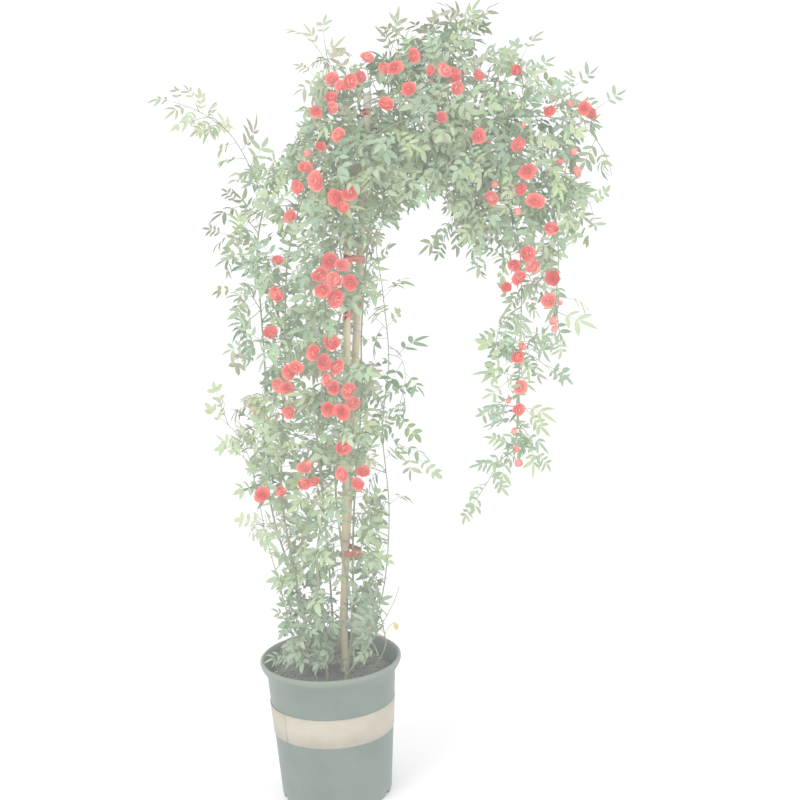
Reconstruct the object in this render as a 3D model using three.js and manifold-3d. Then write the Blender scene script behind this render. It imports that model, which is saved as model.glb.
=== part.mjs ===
// A climbing rose trained up two bamboo stakes in a nursery pot. Its canes are tied to the stakes with
// plastic tape, arch over to one side at the top and hang down again in a long tail of small red blooms.
// Millimetres, +Z up, front towards -Y. The origin is the middle of the pot's underside.
import * as THREE from "three";
import { mergeVertices } from "three/addons/utils/BufferGeometryUtils.js";
import Module from "manifold-3d";

const wasm = await Module();
wasm.setup();

// ---------------------------------------------------------------- driving dimensions

const GAP = 0.3; // between any two pieces that touch on the real plant
const ROUND = 24; // flats round the pot, its label band and its soil

const POT = {
  height: 233,
  footRadius: 90,
  shoulderRadius: 104.4, // top of the plain wall, under the rim
  shoulderHeight: 208,
  rimRadius: 115,
  rimHeight: 15,
  wall: 2.4,
  floor: 3,
};
const DRAIN = { count: 8, width: 15, height: 8, depth: 14 };
const BAND = { bottom: 114, top: 163, thickness: 0.8 };
const SOIL = { edge: 204, middle: 209, lumps: 2.5 };
const STEM_DEPTH = 50; // how far a cane goes down into the soil

const STAKES = {
  tall: { foot: [-4, 34, 12], tip: [101, -4, 1126], radius: 6 },
  short: { foot: [10, -8, 12], tip: [66, -20, 1000], radius: 5.6 },
};
const CULM = { sides: 6, joint: 1.1, jointHalf: 3, internode: 210 };

const TAPE = { width: 7, thickness: 1.2, knot: 4.5 };
const LEAN = 0.1; // how far a stake or cane moves sideways in each millimetre of height, at most

const CANE_SIDES = 4;
const CANE_STEP = 95;
const TWIG_SIDES = 3;
const TWIG_STEP = 40;
const TWIG_THICK = [1.6, 0.9];
const SHOOT_STEPS = 2;
const LEAF_THICKNESS = 1.5; // at the rib
const STALK_RADIUS = 1.3;
const PEDICEL_RADIUS = 1.1;
const HUB_SHARE = 0.5; // how near the blooms of a spray part to what bears them
const HUB_RADIUS = 2.6; // of the knob where they part
const KNOB_MATCH = 0.9; // cosine of the most that a pedicel turns from the knob's face that it leaves by
const LEAF_TRIES = 5;
const GOLDEN = 2.4; // turn from one leaf to the next, in radians
const TIP_ROOM = 0.8; // share of the last leaf's length that lies inside the route of its stem
const LEAST_STEM = 0.3; // share of a route that stays stem, however short it is

// Where leaves and side shoots stand, in millimetres along what bears them, and how long they are.
const LEAFING = {
  cane: { from: 165, every: 140, size: [86, 108] },
  twig: { from: 20, every: 55, size: [66, 84] },
  shoots: { from: 240, every: 520, reach: [60, 100], leaves: { from: 30, every: 65, size: [74, 96] } },
};

// ---------------------------------------------------------------- small tools

const vec = (x, y, z) => new THREE.Vector3(x, y, z);
const vecs = (list) => list.map(([x, y, z]) => vec(x, y, z));
const UP = vec(0, 0, 1);

// A number from 0 to 1 that depends only on its keys, which are whole numbers.
function draw(...keys) {
  let h = 2166136261;
  for (const key of keys) {
    h = Math.imul(h ^ key, 16777619);
    h ^= h >>> 13;
    h = Math.imul(h, 1540483477);
    h ^= h >>> 15;
  }
  return (h >>> 0) / 4294967296;
}

const between = (low, high, ...keys) => low + (high - low) * draw(...keys);

function solid(points, faces) {
  return new wasm.Manifold(
    new wasm.Mesh({
      numProp: 3,
      vertProperties: Float32Array.from(points.flatMap((p) => p.toArray())),
      triVerts: Uint32Array.from(faces.flat()),
    }),
  );
}

// A closed three.js geometry as a solid that can be cut and joined.
function solidOf(geometry) {
  const bare = new THREE.BufferGeometry();
  bare.setAttribute("position", geometry.getAttribute("position"));
  if (geometry.index) bare.setIndex(geometry.index);
  const merged = mergeVertices(bare, 1e-4);
  return new wasm.Manifold(
    new wasm.Mesh({
      numProp: 3,
      vertProperties: Float32Array.from(merged.attributes.position.array),
      triVerts: Uint32Array.from(merged.index.array),
    }),
  );
}

// A closed profile of [radius, height] pairs turned round the Z axis.
function turned(profile, flats = ROUND) {
  const points = profile.map(([r, z]) => new THREE.Vector2(r, z));
  return new THREE.LatheGeometry(points, flats).rotateX(Math.PI / 2);
}

const clearOf = (a, b) => a.minGap(b, 2 * GAP) >= GAP * 0.98;

// Solids joined into one body, without the closed pockets and slivers that joining may leave.
function joined(pieces) {
  const union = wasm.Manifold.union(pieces);
  const bodies = union.decompose().sort((a, b) => b.volume() - a.volume());
  return bodies[0].volume() > 0.999 * union.volume() ? bodies[0] : null;
}

// ---------------------------------------------------------------- pot, label band and soil

// Radius of the pot's plain outer wall at a height.
function wallRadius(z) {
  return POT.footRadius + ((POT.shoulderRadius - POT.footRadius) * z) / POT.shoulderHeight;
}

function potSolid() {
  const { height, wall, floor, rimRadius, rimHeight, shoulderHeight } = POT;
  const rimFoot = height - rimHeight;
  const outside = [
    [0, 0],
    [wallRadius(0), 0],
    [wallRadius(shoulderHeight), shoulderHeight],
    [rimRadius - 3, rimFoot + 7],
    [rimRadius, height - 5],
    [rimRadius - 1.5, height - 1],
    [rimRadius - 4, height],
  ];
  const inside = [
    [rimRadius - 7, height - 2],
    [wallRadius(shoulderHeight) - wall, shoulderHeight + 2],
    [wallRadius(floor) - wall, floor],
    [0, floor],
  ];
  let pot = solidOf(turned([...outside, ...inside]));
  for (let i = 0; i < DRAIN.count; i++) {
    const turn = (2 * Math.PI * (i + 0.5)) / DRAIN.count;
    const slot = new THREE.BoxGeometry(DRAIN.depth, DRAIN.width, 2 * DRAIN.height);
    slot.translate(POT.footRadius, 0, 0).rotateZ(turn);
    pot = pot.subtract(solidOf(slot));
  }
  return pot;
}

function bandSolid() {
  const { bottom, top, thickness } = BAND;
  const inner = (z) => wallRadius(z) + GAP;
  return solidOf(
    turned([
      [inner(bottom), bottom],
      [inner(bottom) + thickness, bottom],
      [inner(top) + thickness, top],
      [inner(top), top],
      [inner(bottom), bottom],
    ]),
  );
}

// The potting mix fills the pot to below its rim, with a lumpy top. Stakes and canes stand in holes.
function soilSolid(stems) {
  const floor = POT.floor + GAP;
  const side = (z) => wallRadius(z) - POT.wall - GAP * 1.2;
  const geometry = turned([
    [0, floor],
    [side(floor), floor],
    [side(SOIL.edge), SOIL.edge],
    [side(SOIL.edge) - 14, SOIL.edge + 2],
    [58, SOIL.middle - 2],
    [28, SOIL.middle],
    [0, SOIL.middle - 1],
  ]);
  const place = geometry.getAttribute("position");
  for (let i = 0; i < place.count; i++) {
    if (place.getZ(i) <= SOIL.edge + 1) continue;
    const lump = between(-SOIL.lumps, SOIL.lumps, Math.round(place.getX(i)), Math.round(place.getY(i)));
    place.setZ(i, place.getZ(i) + lump);
  }
  return stems.reduce((soil, stem) => soil.subtract(stem), solidOf(geometry));
}

// ---------------------------------------------------------------- tubes along a line

// A tapering tube with flat ends. `grow` makes it that much larger all round, for the hole it stands in.
function tube(curve, steps, sides, radiusAt, grow = 0) {
  const frames = curve.computeFrenetFrames(steps, false);
  const spread = grow / Math.cos(Math.PI / sides);
  const points = [];
  const faces = [];
  for (let i = 0; i <= steps; i++) {
    const centre = curve.getPointAt(i / steps);
    if (i === 0) centre.addScaledVector(frames.tangents[0], -grow);
    const radius = radiusAt(i / steps) + spread;
    for (let k = 0; k < sides; k++) {
      const angle = (2 * Math.PI * k) / sides;
      const corner = centre.clone();
      corner.addScaledVector(frames.normals[i], radius * Math.cos(angle));
      corner.addScaledVector(frames.binormals[i], radius * Math.sin(angle));
      points.push(corner);
    }
  }
  for (let i = 0; i < steps; i++)
    for (let k = 0; k < sides; k++) {
      const a = i * sides + k;
      const b = i * sides + ((k + 1) % sides);
      faces.push([a, b, b + sides], [a, b + sides, a + sides]);
    }
  const last = steps * sides;
  for (let k = 1; k < sides - 1; k++) faces.push([0, k + 1, k], [last, last + k, last + k + 1]);
  return solid(points, faces);
}

const through = (points) => new THREE.CatmullRomCurve3(points, false, "catmullrom", 0.5);

// The same line with straight lengths, as the tube along it has them.
function straightened(curve, steps) {
  const line = new THREE.CatmullRomCurve3(curve.getSpacedPoints(steps), false, "catmullrom", 0);
  line.arcLengthDivisions = 40 * steps;
  return line;
}

const tapering = (thick, thin) => (t) => thick + (thin - thick) * t;

// ---------------------------------------------------------------- bamboo stakes and their ties

// A straight culm with a low ring at each of its joints.
function stakeSolid({ foot, tip, radius }, grow = 0) {
  const [low, high] = vecs([foot, tip]);
  const length = low.distanceTo(high);
  const size = radius + grow / Math.cos(Math.PI / CULM.sides);
  const profile = [
    [0, -grow],
    [size, -grow],
  ];
  for (let z = CULM.internode; z < length - 40; z += CULM.internode)
    profile.push([size, z - CULM.jointHalf], [size + CULM.joint, z], [size, z + CULM.jointHalf]);
  profile.push([size * 0.93, length], [0, length]);
  const culm = turned(profile, CULM.sides);
  const lean = new THREE.Quaternion().setFromUnitVectors(UP, high.clone().sub(low).normalize());
  return solidOf(culm.applyQuaternion(lean).translate(low.x, low.y, low.z));
}

function stakeCentre({ foot, tip }, z) {
  const [low, high] = vecs([foot, tip]);
  return low.lerp(high, (z - foot[2]) / (tip[2] - foot[2]));
}

// The outline of the smallest loop round some points, anticlockwise.
function hull(points) {
  const sorted = [...points].sort((a, b) => a.x - b.x || a.y - b.y);
  const half = (list) => {
    const chain = [];
    for (const p of list) {
      while (chain.length > 1) {
        const [a, b] = chain.slice(-2);
        if ((b.x - a.x) * (p.y - a.y) - (b.y - a.y) * (p.x - a.x) > 1e-9) break;
        chain.pop();
      }
      chain.push(p);
    }
    return chain.slice(0, -1);
  };
  return [...half(sorted), ...half(sorted.reverse())];
}

// The loop at a distance from every member, which are circles with a centre and a radius.
function loopRound(members, distance) {
  const points = members.flatMap(({ centre, radius }) =>
    Array.from({ length: CULM.sides }, (_, k) => {
      const angle = (2 * Math.PI * (k + 0.5)) / CULM.sides;
      const reach = radius + distance / Math.cos(Math.PI / CULM.sides);
      return new THREE.Vector2(centre.x + reach * Math.cos(angle), centre.y + reach * Math.sin(angle));
    }),
  );
  return hull(points);
}

// A loop of flat tape round its members, pulled askew by `slope`, with its knot at the front.
function tieSolid({ height, slope, members }) {
  const { width, thickness, knot } = TAPE;
  const clearance = GAP + 0.15 + LEAN * (width / 2 + Math.abs(slope) * members[0].radius);
  const inside = loopRound(members, clearance);
  const shape = new THREE.Shape(loopRound(members, clearance + thickness));
  shape.holes.push(new THREE.Path(inside));
  const loop = new THREE.ExtrudeGeometry(shape, { depth: width, bevelEnabled: false, steps: 1 });
  loop.translate(0, 0, height - width / 2);
  const front = inside.reduce((a, b) => (b.y < a.y ? b : a));
  const bow = new THREE.OctahedronGeometry(knot).scale(1.3, 0.55, 1);
  bow.translate(front.x + 1.5, front.y - thickness - 1.2, height);
  const askew = new THREE.Matrix4().makeShear(0, slope, 0, 0, 0, 0);
  const pivot = members[0].centre.x;
  for (const piece of [loop, bow]) {
    piece.translate(-pivot, 0, 0).applyMatrix4(askew).translate(pivot, 0, 0);
  }
  return solidOf(loop).add(solidOf(bow));
}

// ---------------------------------------------------------------- what is already in place

// Every solid that is settled, so that what grows later is bent clear of it.
const settled = [];

function settle(part, piece) {
  settled.push({ part, piece, box: piece.boundingBox() });
  return piece;
}

const boxesMeet = (a, b) =>
  [0, 1, 2].every((i) => a.min[i] - GAP < b.max[i] && b.min[i] - GAP < a.max[i]);

// Whether a new solid keeps its gap to everything but the parts that it grows from.
function isClear(piece, ...parents) {
  const box = piece.boundingBox();
  return settled.every(
    (other) => parents.includes(other.part) || !boxesMeet(box, other.box) || clearOf(piece, other.piece),
  );
}

// ---------------------------------------------------------------- canes and twigs

// Each cane is a line of places from the soil to its tip. Its twigs start at the nearest place on it,
// or on a twig given before.
const canes = {
  left_cane: {
    thick: [3.6, 1.7],
    route: [
      [-25, -15, 208], [-35, -35, 305], [-50, -45, 410], [-60, -50, 510], [-55, -45, 605],
      [-45, -50, 700], [-40, -45, 790], [-30, -50, 885], [-5, -50, 970], [35, -55, 1045],
      [90, -50, 1105], [165, -45, 1130], [230, -40, 1135], [285, -30, 1135], [335, -30, 1125],
      [390, -25, 1105],
    ],
    twigs: [
      [[50, -50, 1100], [30, -55, 1120], [5, -50, 1130]],
      [[-45, -50, 760], [-75, -55, 765], [-110, -55, 755], [-135, -50, 740]],
      [[-50, -45, 660], [-80, -60, 675], [-120, -60, 660]],
      [[65, -50, 1100], [60, -50, 1140], [45, -45, 1175], [40, -40, 1210], [30, -35, 1250]],
      [[230, -40, 1135], [240, -50, 1165], [265, -50, 1195]],
      [[335, -30, 1125], [330, -35, 1160], [345, -35, 1190], [360, -30, 1210]],
    ],
  },
  front_cane: {
    thick: [3.8, 1.6],
    route: [
      [-5, -45, 208], [-5, -60, 315], [-10, -65, 415], [5, -60, 510], [0, -65, 605],
      [15, -60, 700], [25, -65, 790], [20, -60, 880], [40, -65, 965], [80, -70, 1035],
      [145, -75, 1080], [220, -70, 1090], [290, -60, 1075], [340, -50, 1030], [370, -45, 955],
      [380, -40, 880], [375, -35, 805], [370, -30, 750],
    ],
    twigs: [
      [[360, -45, 995], [400, -50, 970], [430, -45, 945], [425, -35, 900]],
      [[375, -35, 805], [400, -30, 805], [415, -25, 800]],
      [[370, -30, 750], [385, -25, 725], [395, -20, 705]],
    ],
  },
  tail_cane: {
    thick: [3.8, 1.4],
    route: [
      [25, -50, 208], [40, -50, 310], [30, -50, 425], [25, -50, 540], [45, -50, 650],
      [35, -50, 750], [55, -50, 835], [50, -50, 910], [75, -50, 985], [115, -30, 1040],
      [175, -20, 1065], [245, -15, 1045], [295, -15, 990], [320, -15, 910], [325, -10, 820],
      [320, -10, 725], [315, -10, 630], [305, -5, 540], [285, 0, 500],
    ],
    twigs: [
      [[320, -10, 725], [345, 0, 710], [370, 10, 685], [380, 10, 650]],
      [[315, -10, 635], [290, 5, 635], [270, 10, 620], [250, 10, 595]],
      [[310, -5, 565], [285, 5, 545], [265, 10, 510], [240, 10, 475], [220, 5, 445]],
      [[320, -10, 790], [300, 0, 775], [285, 5, 740], [275, 5, 685]],
    ],
  },
  stake_cane: {
    thick: [3.4, 1.5],
    route: [
      [35, -10, 208], [40, -15, 265], [45, -20, 410], [55, -20, 530], [70, -15, 655],
      [75, -10, 765], [90, -10, 890], [110, 0, 980], [155, 10, 1040], [225, 20, 1070],
      [300, 25, 1080], [375, 25, 1080], [440, 20, 1055], [480, 15, 1025],
    ],
    twigs: [
      [[300, 25, 1080], [315, 20, 1120], [310, 15, 1155], [310, 10, 1180]],
      [[375, 25, 1080], [395, 15, 1110], [425, 5, 1130], [455, 0, 1145]],
      [[440, 20, 1055], [445, 10, 1085], [470, 5, 1100], [500, 0, 1105]],
      [[440, 20, 1055], [460, 10, 1020], [470, 5, 980], [460, 0, 950]],
    ],
  },
  back_left_cane: {
    thick: [3.4, 1.5],
    route: [
      [-30, 30, 208], [-55, 55, 330], [-85, 60, 450], [-95, 55, 570], [-85, 55, 685],
      [-85, 50, 795], [-85, 50, 895], [-65, 45, 970], [-25, 50, 1030], [45, 60, 1075],
      [135, 60, 1120], [215, 45, 1170], [255, 25, 1205], [270, 15, 1245],
    ],
    twigs: [
      [
        [-75, 45, 965], [-95, 35, 1040], [-120, 30, 1080], [-160, 25, 1110], [-195, 20, 1125],
        [-230, 15, 1145],
      ],
      [[-120, 30, 1080], [-140, 20, 1100], [-170, 10, 1095], [-210, 5, 1085]],
      [[-160, 25, 1110], [-170, 20, 1140], [-180, 15, 1165]],
      [[-85, 50, 895], [-110, 40, 910], [-145, 30, 925], [-180, 20, 920]],
      [[-85, 50, 795], [-105, 40, 830], [-135, 35, 830], [-155, 30, 810]],
      [[-85, 50, 795], [-110, 30, 775], [-120, 20, 740], [-110, 15, 705]],
      [[215, 45, 1170], [200, 30, 1205], [200, 15, 1240]],
      [[255, 25, 1205], [285, 10, 1220], [295, 5, 1240]],
      [[135, 60, 1120], [135, 30, 1175], [145, 10, 1210], [135, 0, 1240]],
      [[-75, 45, 945], [-105, 30, 965], [-130, 20, 1010]],
    ],
  },
  back_cane: {
    thick: [3.4, 1.5],
    route: [
      [5, 45, 208], [0, 80, 370], [-5, 90, 520], [10, 85, 675], [5, 90, 805], [35, 85, 915],
      [85, 85, 1000], [180, 80, 1035], [275, 75, 1025], [355, 60, 990], [425, 45, 940],
      [470, 35, 955],
    ],
    twigs: [
      [[420, 45, 945], [425, 35, 910], [415, 25, 875]],
      [[275, 75, 1025], [255, 70, 965], [230, 60, 925], [190, 50, 915]],
    ],
  },
  right_cane: {
    thick: [3.2, 1.4],
    route: [
      [50, 30, 208], [90, 50, 325], [105, 50, 460], [100, 45, 595], [115, 50, 710],
      [110, 50, 820], [105, 60, 900], [145, 60, 965], [205, 50, 980], [250, 40, 940],
      [260, 30, 880], [255, 25, 820],
    ],
    twigs: [
      [[110, 50, 805], [130, 40, 830], [145, 30, 845]],
      [[115, 50, 755], [100, 20, 775], [100, 5, 740]],
      [
        [115, 50, 715], [135, 40, 710], [140, 35, 680], [130, 30, 640], [115, 25, 600],
        [125, 20, 570], [150, 15, 565],
      ],
      [[105, 50, 470], [125, 30, 490], [140, 20, 505]],
      [[220, 45, 970], [225, 30, 935], [210, 20, 900], [190, 15, 865]],
    ],
  },
  young_left_cane: {
    thick: [2.4, 1.2],
    route: [
      [-50, -20, 208], [-65, -70, 355], [-85, -75, 455], [-95, -70, 525], [-110, -60, 595],
      [-140, -50, 635], [-175, -40, 610],
    ],
    twigs: [
      [[-105, -60, 575], [-130, -65, 595], [-165, -60, 580]],
      [[-140, -50, 635], [-145, -45, 670], [-125, -40, 700]],
    ],
  },
  young_right_cane: {
    thick: [2.2, 1.2],
    route: [
      [60, -20, 208], [75, -25, 225], [90, -30, 255], [90, -35, 280], [80, -40, 330],
      [65, -40, 350], [60, -45, 395], [60, -45, 445], [65, -50, 505],
    ],
    twigs: [],
  },
  low_left_shoot: {
    thick: [2.2, 1.2],
    route: [[-20, -55, 208], [-35, -70, 275], [-60, -85, 325], [-80, -90, 360]],
    twigs: [],
  },
  low_right_shoot: {
    thick: [2.2, 1.2],
    route: [[20, -62, 208], [55, -85, 265], [90, -95, 320], [115, -95, 370], [125, -90, 425]],
    twigs: [],
  },
};

// The sprays of blooms: each bloom's middle and radius. A negative Y is on the front of the plant.
const sprays = {
  crown_left: [[103, -55, 1176, 12], [92, -75, 1147, 12], [78, -96, 1141, 13], [63, -78, 1136, 11.5]],
  shoulder_left: [[50, -62, 1147, 12], [48, -62, 1119, 12], [50, -80, 1105, 11.5], [25, -66, 1100, 11.5]],
  crown_middle: [[129, -56, 1160, 11.5], [143, -76, 1158, 13], [172, -60, 1175, 11.5]],
  below_crown: [[161, -88, 1128, 12], [128, -95, 1108, 13]],
  crown_right: [
    [196, -62, 1152, 10], [213, -82, 1150, 13], [230, -64, 1145, 13], [231, -82, 1126, 13],
    [266, -56, 1144, 11.5],
  ],
  arch_front: [[208, -92, 1085, 10.5]],
  arch_middle: [[261, -90, 1056, 13.5]],
  shoulder_front: [[56, -92, 1066, 13]],
  shoulder_fall: [
    [29, -82, 1050, 10], [10, -74, 1041, 9], [5, -70, 1021, 12], [20, -82, 1001, 16], [-6, -70, 992, 13],
  ],
  column_top: [[48, -86, 975, 13], [70, -98, 983, 13.5], [59, -104, 962, 10.5]],
  column_top_left: [[-22, -72, 949, 11.5]],
  arch_right_top: [[323, -45, 1148, 11.5]],
  arch_right_end: [
    [370, -48, 1088, 11.5], [403, -38, 1098, 9], [423, -40, 1090, 11.5], [435, -24, 1081, 10],
  ],
  arch_right_front: [[328, -66, 1068, 8], [321, -72, 1040, 12]],
  right_edge: [[405, -26, 1025, 9], [385, -36, 1012, 8], [411, -24, 996, 10]],
  fall_top: [[332, -76, 1001, 13.5], [321, -74, 976, 10], [343, -72, 958, 13.5], [318, -64, 943, 9]],
  fall_left: [[284, -50, 983, 9], [279, -60, 964, 13]],
  fall_right: [[367, -62, 913, 13]],
  fall_middle: [
    [333, -52, 879, 13.5], [340, -66, 858, 13], [311, -46, 861, 10.5], [317, -60, 843, 13],
    [299, -52, 828, 10.5],
  ],
  fall_right_low: [
    [369, -56, 840, 13.5], [362, -54, 807, 12], [380, -46, 801, 7], [367, -54, 775, 9],
    [372, -44, 762, 8],
  ],
  tail_top: [[323, -24, 732, 9], [315, -36, 718, 11.5]],
  tail_middle: [[319, -32, 670, 11.5], [299, -24, 649, 7], [315, -30, 634, 10.5]],
  tail_low: [[307, -26, 600, 8], [310, -26, 571, 9], [312, -24, 548, 9]],
  left_upper: [[-44, -66, 884, 10], [-46, -70, 835, 13]],
  left_edge: [[-61, -66, 776, 11.5]],
  column_heart: [
    [35, -82, 882, 13.5], [53, -98, 877, 11.5], [20, -96, 863, 12], [43, -110, 856, 13.5],
    [64, -98, 850, 12], [23, -114, 842, 12], [42, -102, 828, 14.5],
  ],
  column_upper: [[33, -100, 763, 13], [3, -94, 747, 12]],
  column_left: [[-23, -96, 727, 12], [-36, -80, 716, 12], [-55, -62, 694, 11.5], [-41, -80, 693, 11.5]],
  column_middle: [[18, -86, 731, 12], [38, -104, 726, 13], [21, -122, 709, 11.5], [31, -106, 695, 12]],
  column_lower: [[53, -98, 688, 13], [58, -86, 667, 12], [43, -116, 659, 13.5], [22, -102, 662, 12]],
  column_left_low: [[-39, -84, 656, 10.5]],
  column_low: [[42, -92, 600, 13]],
  low_left: [[-22, -72, 566, 11.5], [-11, -84, 576, 8], [-6, -76, 546, 10], [-21, -92, 547, 12]],
  low_right: [[36, -92, 558, 13], [69, -70, 556, 12], [61, -84, 540, 10.5]],
  low_edge: [[-87, -88, 530, 12], [-59, -90, 534, 10]],
  back_shoulder: [[70, 122, 1010, 12], [48, 116, 992, 13], [66, 128, 984, 10.5]],
  back_arch: [[262, 112, 1058, 13], [284, 114, 1044, 11.5]],
  back_column: [[-2, 124, 712, 12], [18, 126, 694, 13], [-10, 122, 684, 10.5]],
  back_low: [[8, 126, 548, 12], [-14, 122, 536, 10.5]],
  back_left: [[-112, 88, 640, 12], [-104, 94, 618, 11.5]],
};

// ---------------------------------------------------------------- leaves

// A compound leaf is one thin blade cut to its rib: leaflets in pairs at the joints, and one at the tip.
// All lengths are shares of the leaf's own length, and `spread` is each pair's angle from the rib.
const LEAF = {
  joints: [0.28, 0.55],
  pair: [0.4, 0.38],
  spread: [1.12, 0.95],
  half: 0.082, // of a leaflet's width
  widest: 0.45, // where a leaflet is that wide, as a share of its length
  endWidest: 0.76, // and the one at the tip, as a share of the leaf
  rib: 0.014,
  notch: 0.07, // how far past the last joint the end leaflet starts
};

// One side of a leaf from its root to its tip, as [along, across] places, with the joint each fans from.
function leafSide() {
  const { joints, pair, spread, half, widest, endWidest, rib, notch } = LEAF;
  const side = [{ at: [0, 0], joint: 0 }];
  joints.forEach((joint, j) => {
    const before = j ? (joint + joints[j - 1]) / 2 : joint - 0.05;
    const [dx, dy] = [Math.cos(spread[j]), Math.sin(spread[j])];
    const [out, back] = [widest * pair[j], 1.5 * half];
    side.push(
      { at: [before, rib], joint: j },
      { at: [joint + out * dx - back * dy, out * dy + back * dx], joint: j },
      { at: [joint + pair[j] * dx, pair[j] * dy], joint: j },
    );
  });
  const last = joints.length - 1;
  const start = [joints[last] + notch, (1.25 * notch * half) / (endWidest - joints[last])];
  for (const at of [start, [endWidest, half], [1, 0]]) side.push({ at, joint: last });
  return side;
}

// `along` and `up` are the leaf's direction and its upper face. It folds up from its rib and droops.
function leafSolid(root, along, up, length, fold, droop) {
  const { joints } = LEAF;
  const across = up.clone().cross(along).normalize();
  const place = (s, y, lift) => {
    const rise = lift + fold * Math.abs(y) * length - droop * s * s * length;
    return root
      .clone()
      .addScaledVector(along, s * length)
      .addScaledVector(across, y * length)
      .addScaledVector(up, rise);
  };
  const side = leafSide();
  const count = side.length;
  const points = [];
  for (const { at } of side) points.push(place(at[0], at[1], 0));
  for (const { at } of side.slice(1, -1)) points.push(place(at[0], -at[1], 0));
  const top = points.length;
  for (const joint of joints) points.push(place(joint, 0, LEAF_THICKNESS / 2));
  const under = points.length;
  for (const joint of joints) points.push(place(joint, 0, -LEAF_THICKNESS / 2));
  const left = (i) => i;
  const right = (i) => (i === 0 || i === count - 1 ? i : count + i - 1);
  const faces = [];
  for (const [edge, flip] of [[left, false], [right, true]]) {
    const add = (apex, a, b) => {
      faces.push(flip ? [top + apex, a, b] : [top + apex, b, a]);
      faces.push(flip ? [under + apex, b, a] : [under + apex, a, b]);
    };
    for (let i = 1; i < count; i++) {
      const apex = side[i - 1].joint;
      const next = side[i].joint;
      if (apex === next) {
        add(apex, edge(i - 1), edge(i));
        continue;
      }
      add(apex, edge(i - 1), edge(i));
      const notch = edge(i);
      faces.push(flip ? [top + apex, notch, top + next] : [top + apex, top + next, notch]);
      faces.push(flip ? [under + apex, under + next, notch] : [under + apex, notch, under + next]);
    }
  }
  return solid(points, faces);
}

// ---------------------------------------------------------------- blooms

const PETALS = 5;
const BUD_RADIUS = 9; // up to here a bloom is still a bud, with its petals closed
const CALYX = { reach: 0.16, lift: -0.55 };
const OPEN_TOP = 0.3; // height of the middle of an open bloom, as a share of its radius
const BUD_TOP = 1.15;
const LEAST_FRONT = 0.35; // of a bloom's front, how much lies along its pedicel
const STALK_SIDES = 3;

// Rings from the calyx to the middle, with their reach and height as shares of the bloom's radius.
const OPEN = [
  { count: PETALS, reach: 1, lift: -0.02 },
  { count: PETALS, reach: 0.62, lift: 0.5 },
];
const CLOSED = [{ count: PETALS, reach: 0.92, lift: 0.05 }];

// Corners evenly round a centre, square to the way that they face.
function ringRound(centre, facing, reach, count = STALK_SIDES, shift = 0) {
  const turn = new THREE.Quaternion().setFromUnitVectors(UP, facing);
  return Array.from({ length: count }, (_, k) => {
    const angle = (2 * Math.PI * (k + shift)) / count;
    return vec(reach * Math.cos(angle), reach * Math.sin(angle), 0).applyQuaternion(turn).add(centre);
  });
}

// A bloom that faces along `front`, as rings from its calyx up, for a pedicel that comes from `from`.
// It turns away from a pedicel that would come past its petals.
function bloomRings([x, y, z, radius], front, from) {
  const behind = vec(x, y, z).sub(from).normalize();
  const turn = Math.max(0, LEAST_FRONT - front.dot(behind));
  const axis = front.clone().addScaledVector(behind, turn).normalize();
  const along = (lift) => vec(x, y, z).addScaledVector(axis, lift * radius);
  const sole = along(CALYX.lift);
  const way = sole.clone().sub(from).normalize();
  const calyx = ringRound(sole, way.clone().add(axis).normalize(), CALYX.reach * radius);
  const bud = radius <= BUD_RADIUS;
  const petals = (bud ? CLOSED : OPEN).map(({ count, reach, lift }, i) =>
    ringRound(along(lift), axis, reach * radius, count, i / 2),
  );
  return { way, rings: [calyx, ...petals], top: along(bud ? BUD_TOP : OPEN_TOP) };
}

// A bloom with its pedicel as a closed surface.
function bloomSolid(bloom, axis, from) {
  const { way, rings, top } = bloomRings(bloom, axis, from);
  return capped([ringRound(from, way, PEDICEL_RADIUS), ...rings], top);
}

// A closed surface through rings of any counts, from a flat first ring to a point.
function capped([first, ...rings], top) {
  const points = [...first];
  const faces = [];
  const base = first.map((_, k) => k);
  for (let k = 1; k < base.length - 1; k++) faces.push([base[0], base[k + 1], base[k]]);
  addLimb(points, faces, base, rings, top);
  return solid(points, faces);
}

// Carries a surface on from a ring of its points, through more rings to a point or a flat end.
function addLimb(points, faces, base, rings, top) {
  for (const ring of rings) {
    const next = ring.map((corner) => points.push(corner) - 1);
    stitch(points, faces, base, next);
    base = next;
  }
  if (!top) {
    for (let k = 1; k < base.length - 1; k++) faces.push([base[0], base[k], base[k + 1]]);
    return;
  }
  const apex = points.push(top) - 1;
  base.forEach((corner, k) => faces.push([corner, base[(k + 1) % base.length], apex]));
}

// Joins two rings of evenly spaced points with triangles, from the start that keeps them shortest.
function stitch(points, faces, low, high) {
  const bands = high.map((_, k) => bandBetween(low, [...high.slice(k), ...high.slice(0, k)]));
  const span = (band) => band.reduce((sum, [a, , b]) => sum + points[a].distanceTo(points[b]), 0);
  faces.push(...bands.reduce((best, band) => (span(band) < span(best) ? band : best)));
}

// The triangles between two rings, going round both at the same pace.
function bandBetween(low, high) {
  const band = [];
  let [a, b] = [0, 0];
  while (a < low.length || b < high.length) {
    const [here, above] = [low[a % low.length], high[b % high.length]];
    if ((a + 0.5) / low.length < (b + 0.5) / high.length) {
      a += 1;
      band.push([here, low[a % low.length], above]);
    } else {
      b += 1;
      band.push([here, high[b % high.length], above]);
    }
  }
  return band;
}

// The way a bloom faces: outwards from the front or the back of the plant, each a little differently.
function bloomAxis([x, y, z]) {
  const keys = [Math.abs(x), Math.abs(z)];
  const side = between(-0.6, 0.6, ...keys, 1);
  return vec(side, Math.sign(y), between(-0.15, 0.65, ...keys, 2)).normalize();
}

// ---------------------------------------------------------------- growing it

const lines = []; // every cane and twig that something can grow from: its name, curve and radius

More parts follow.
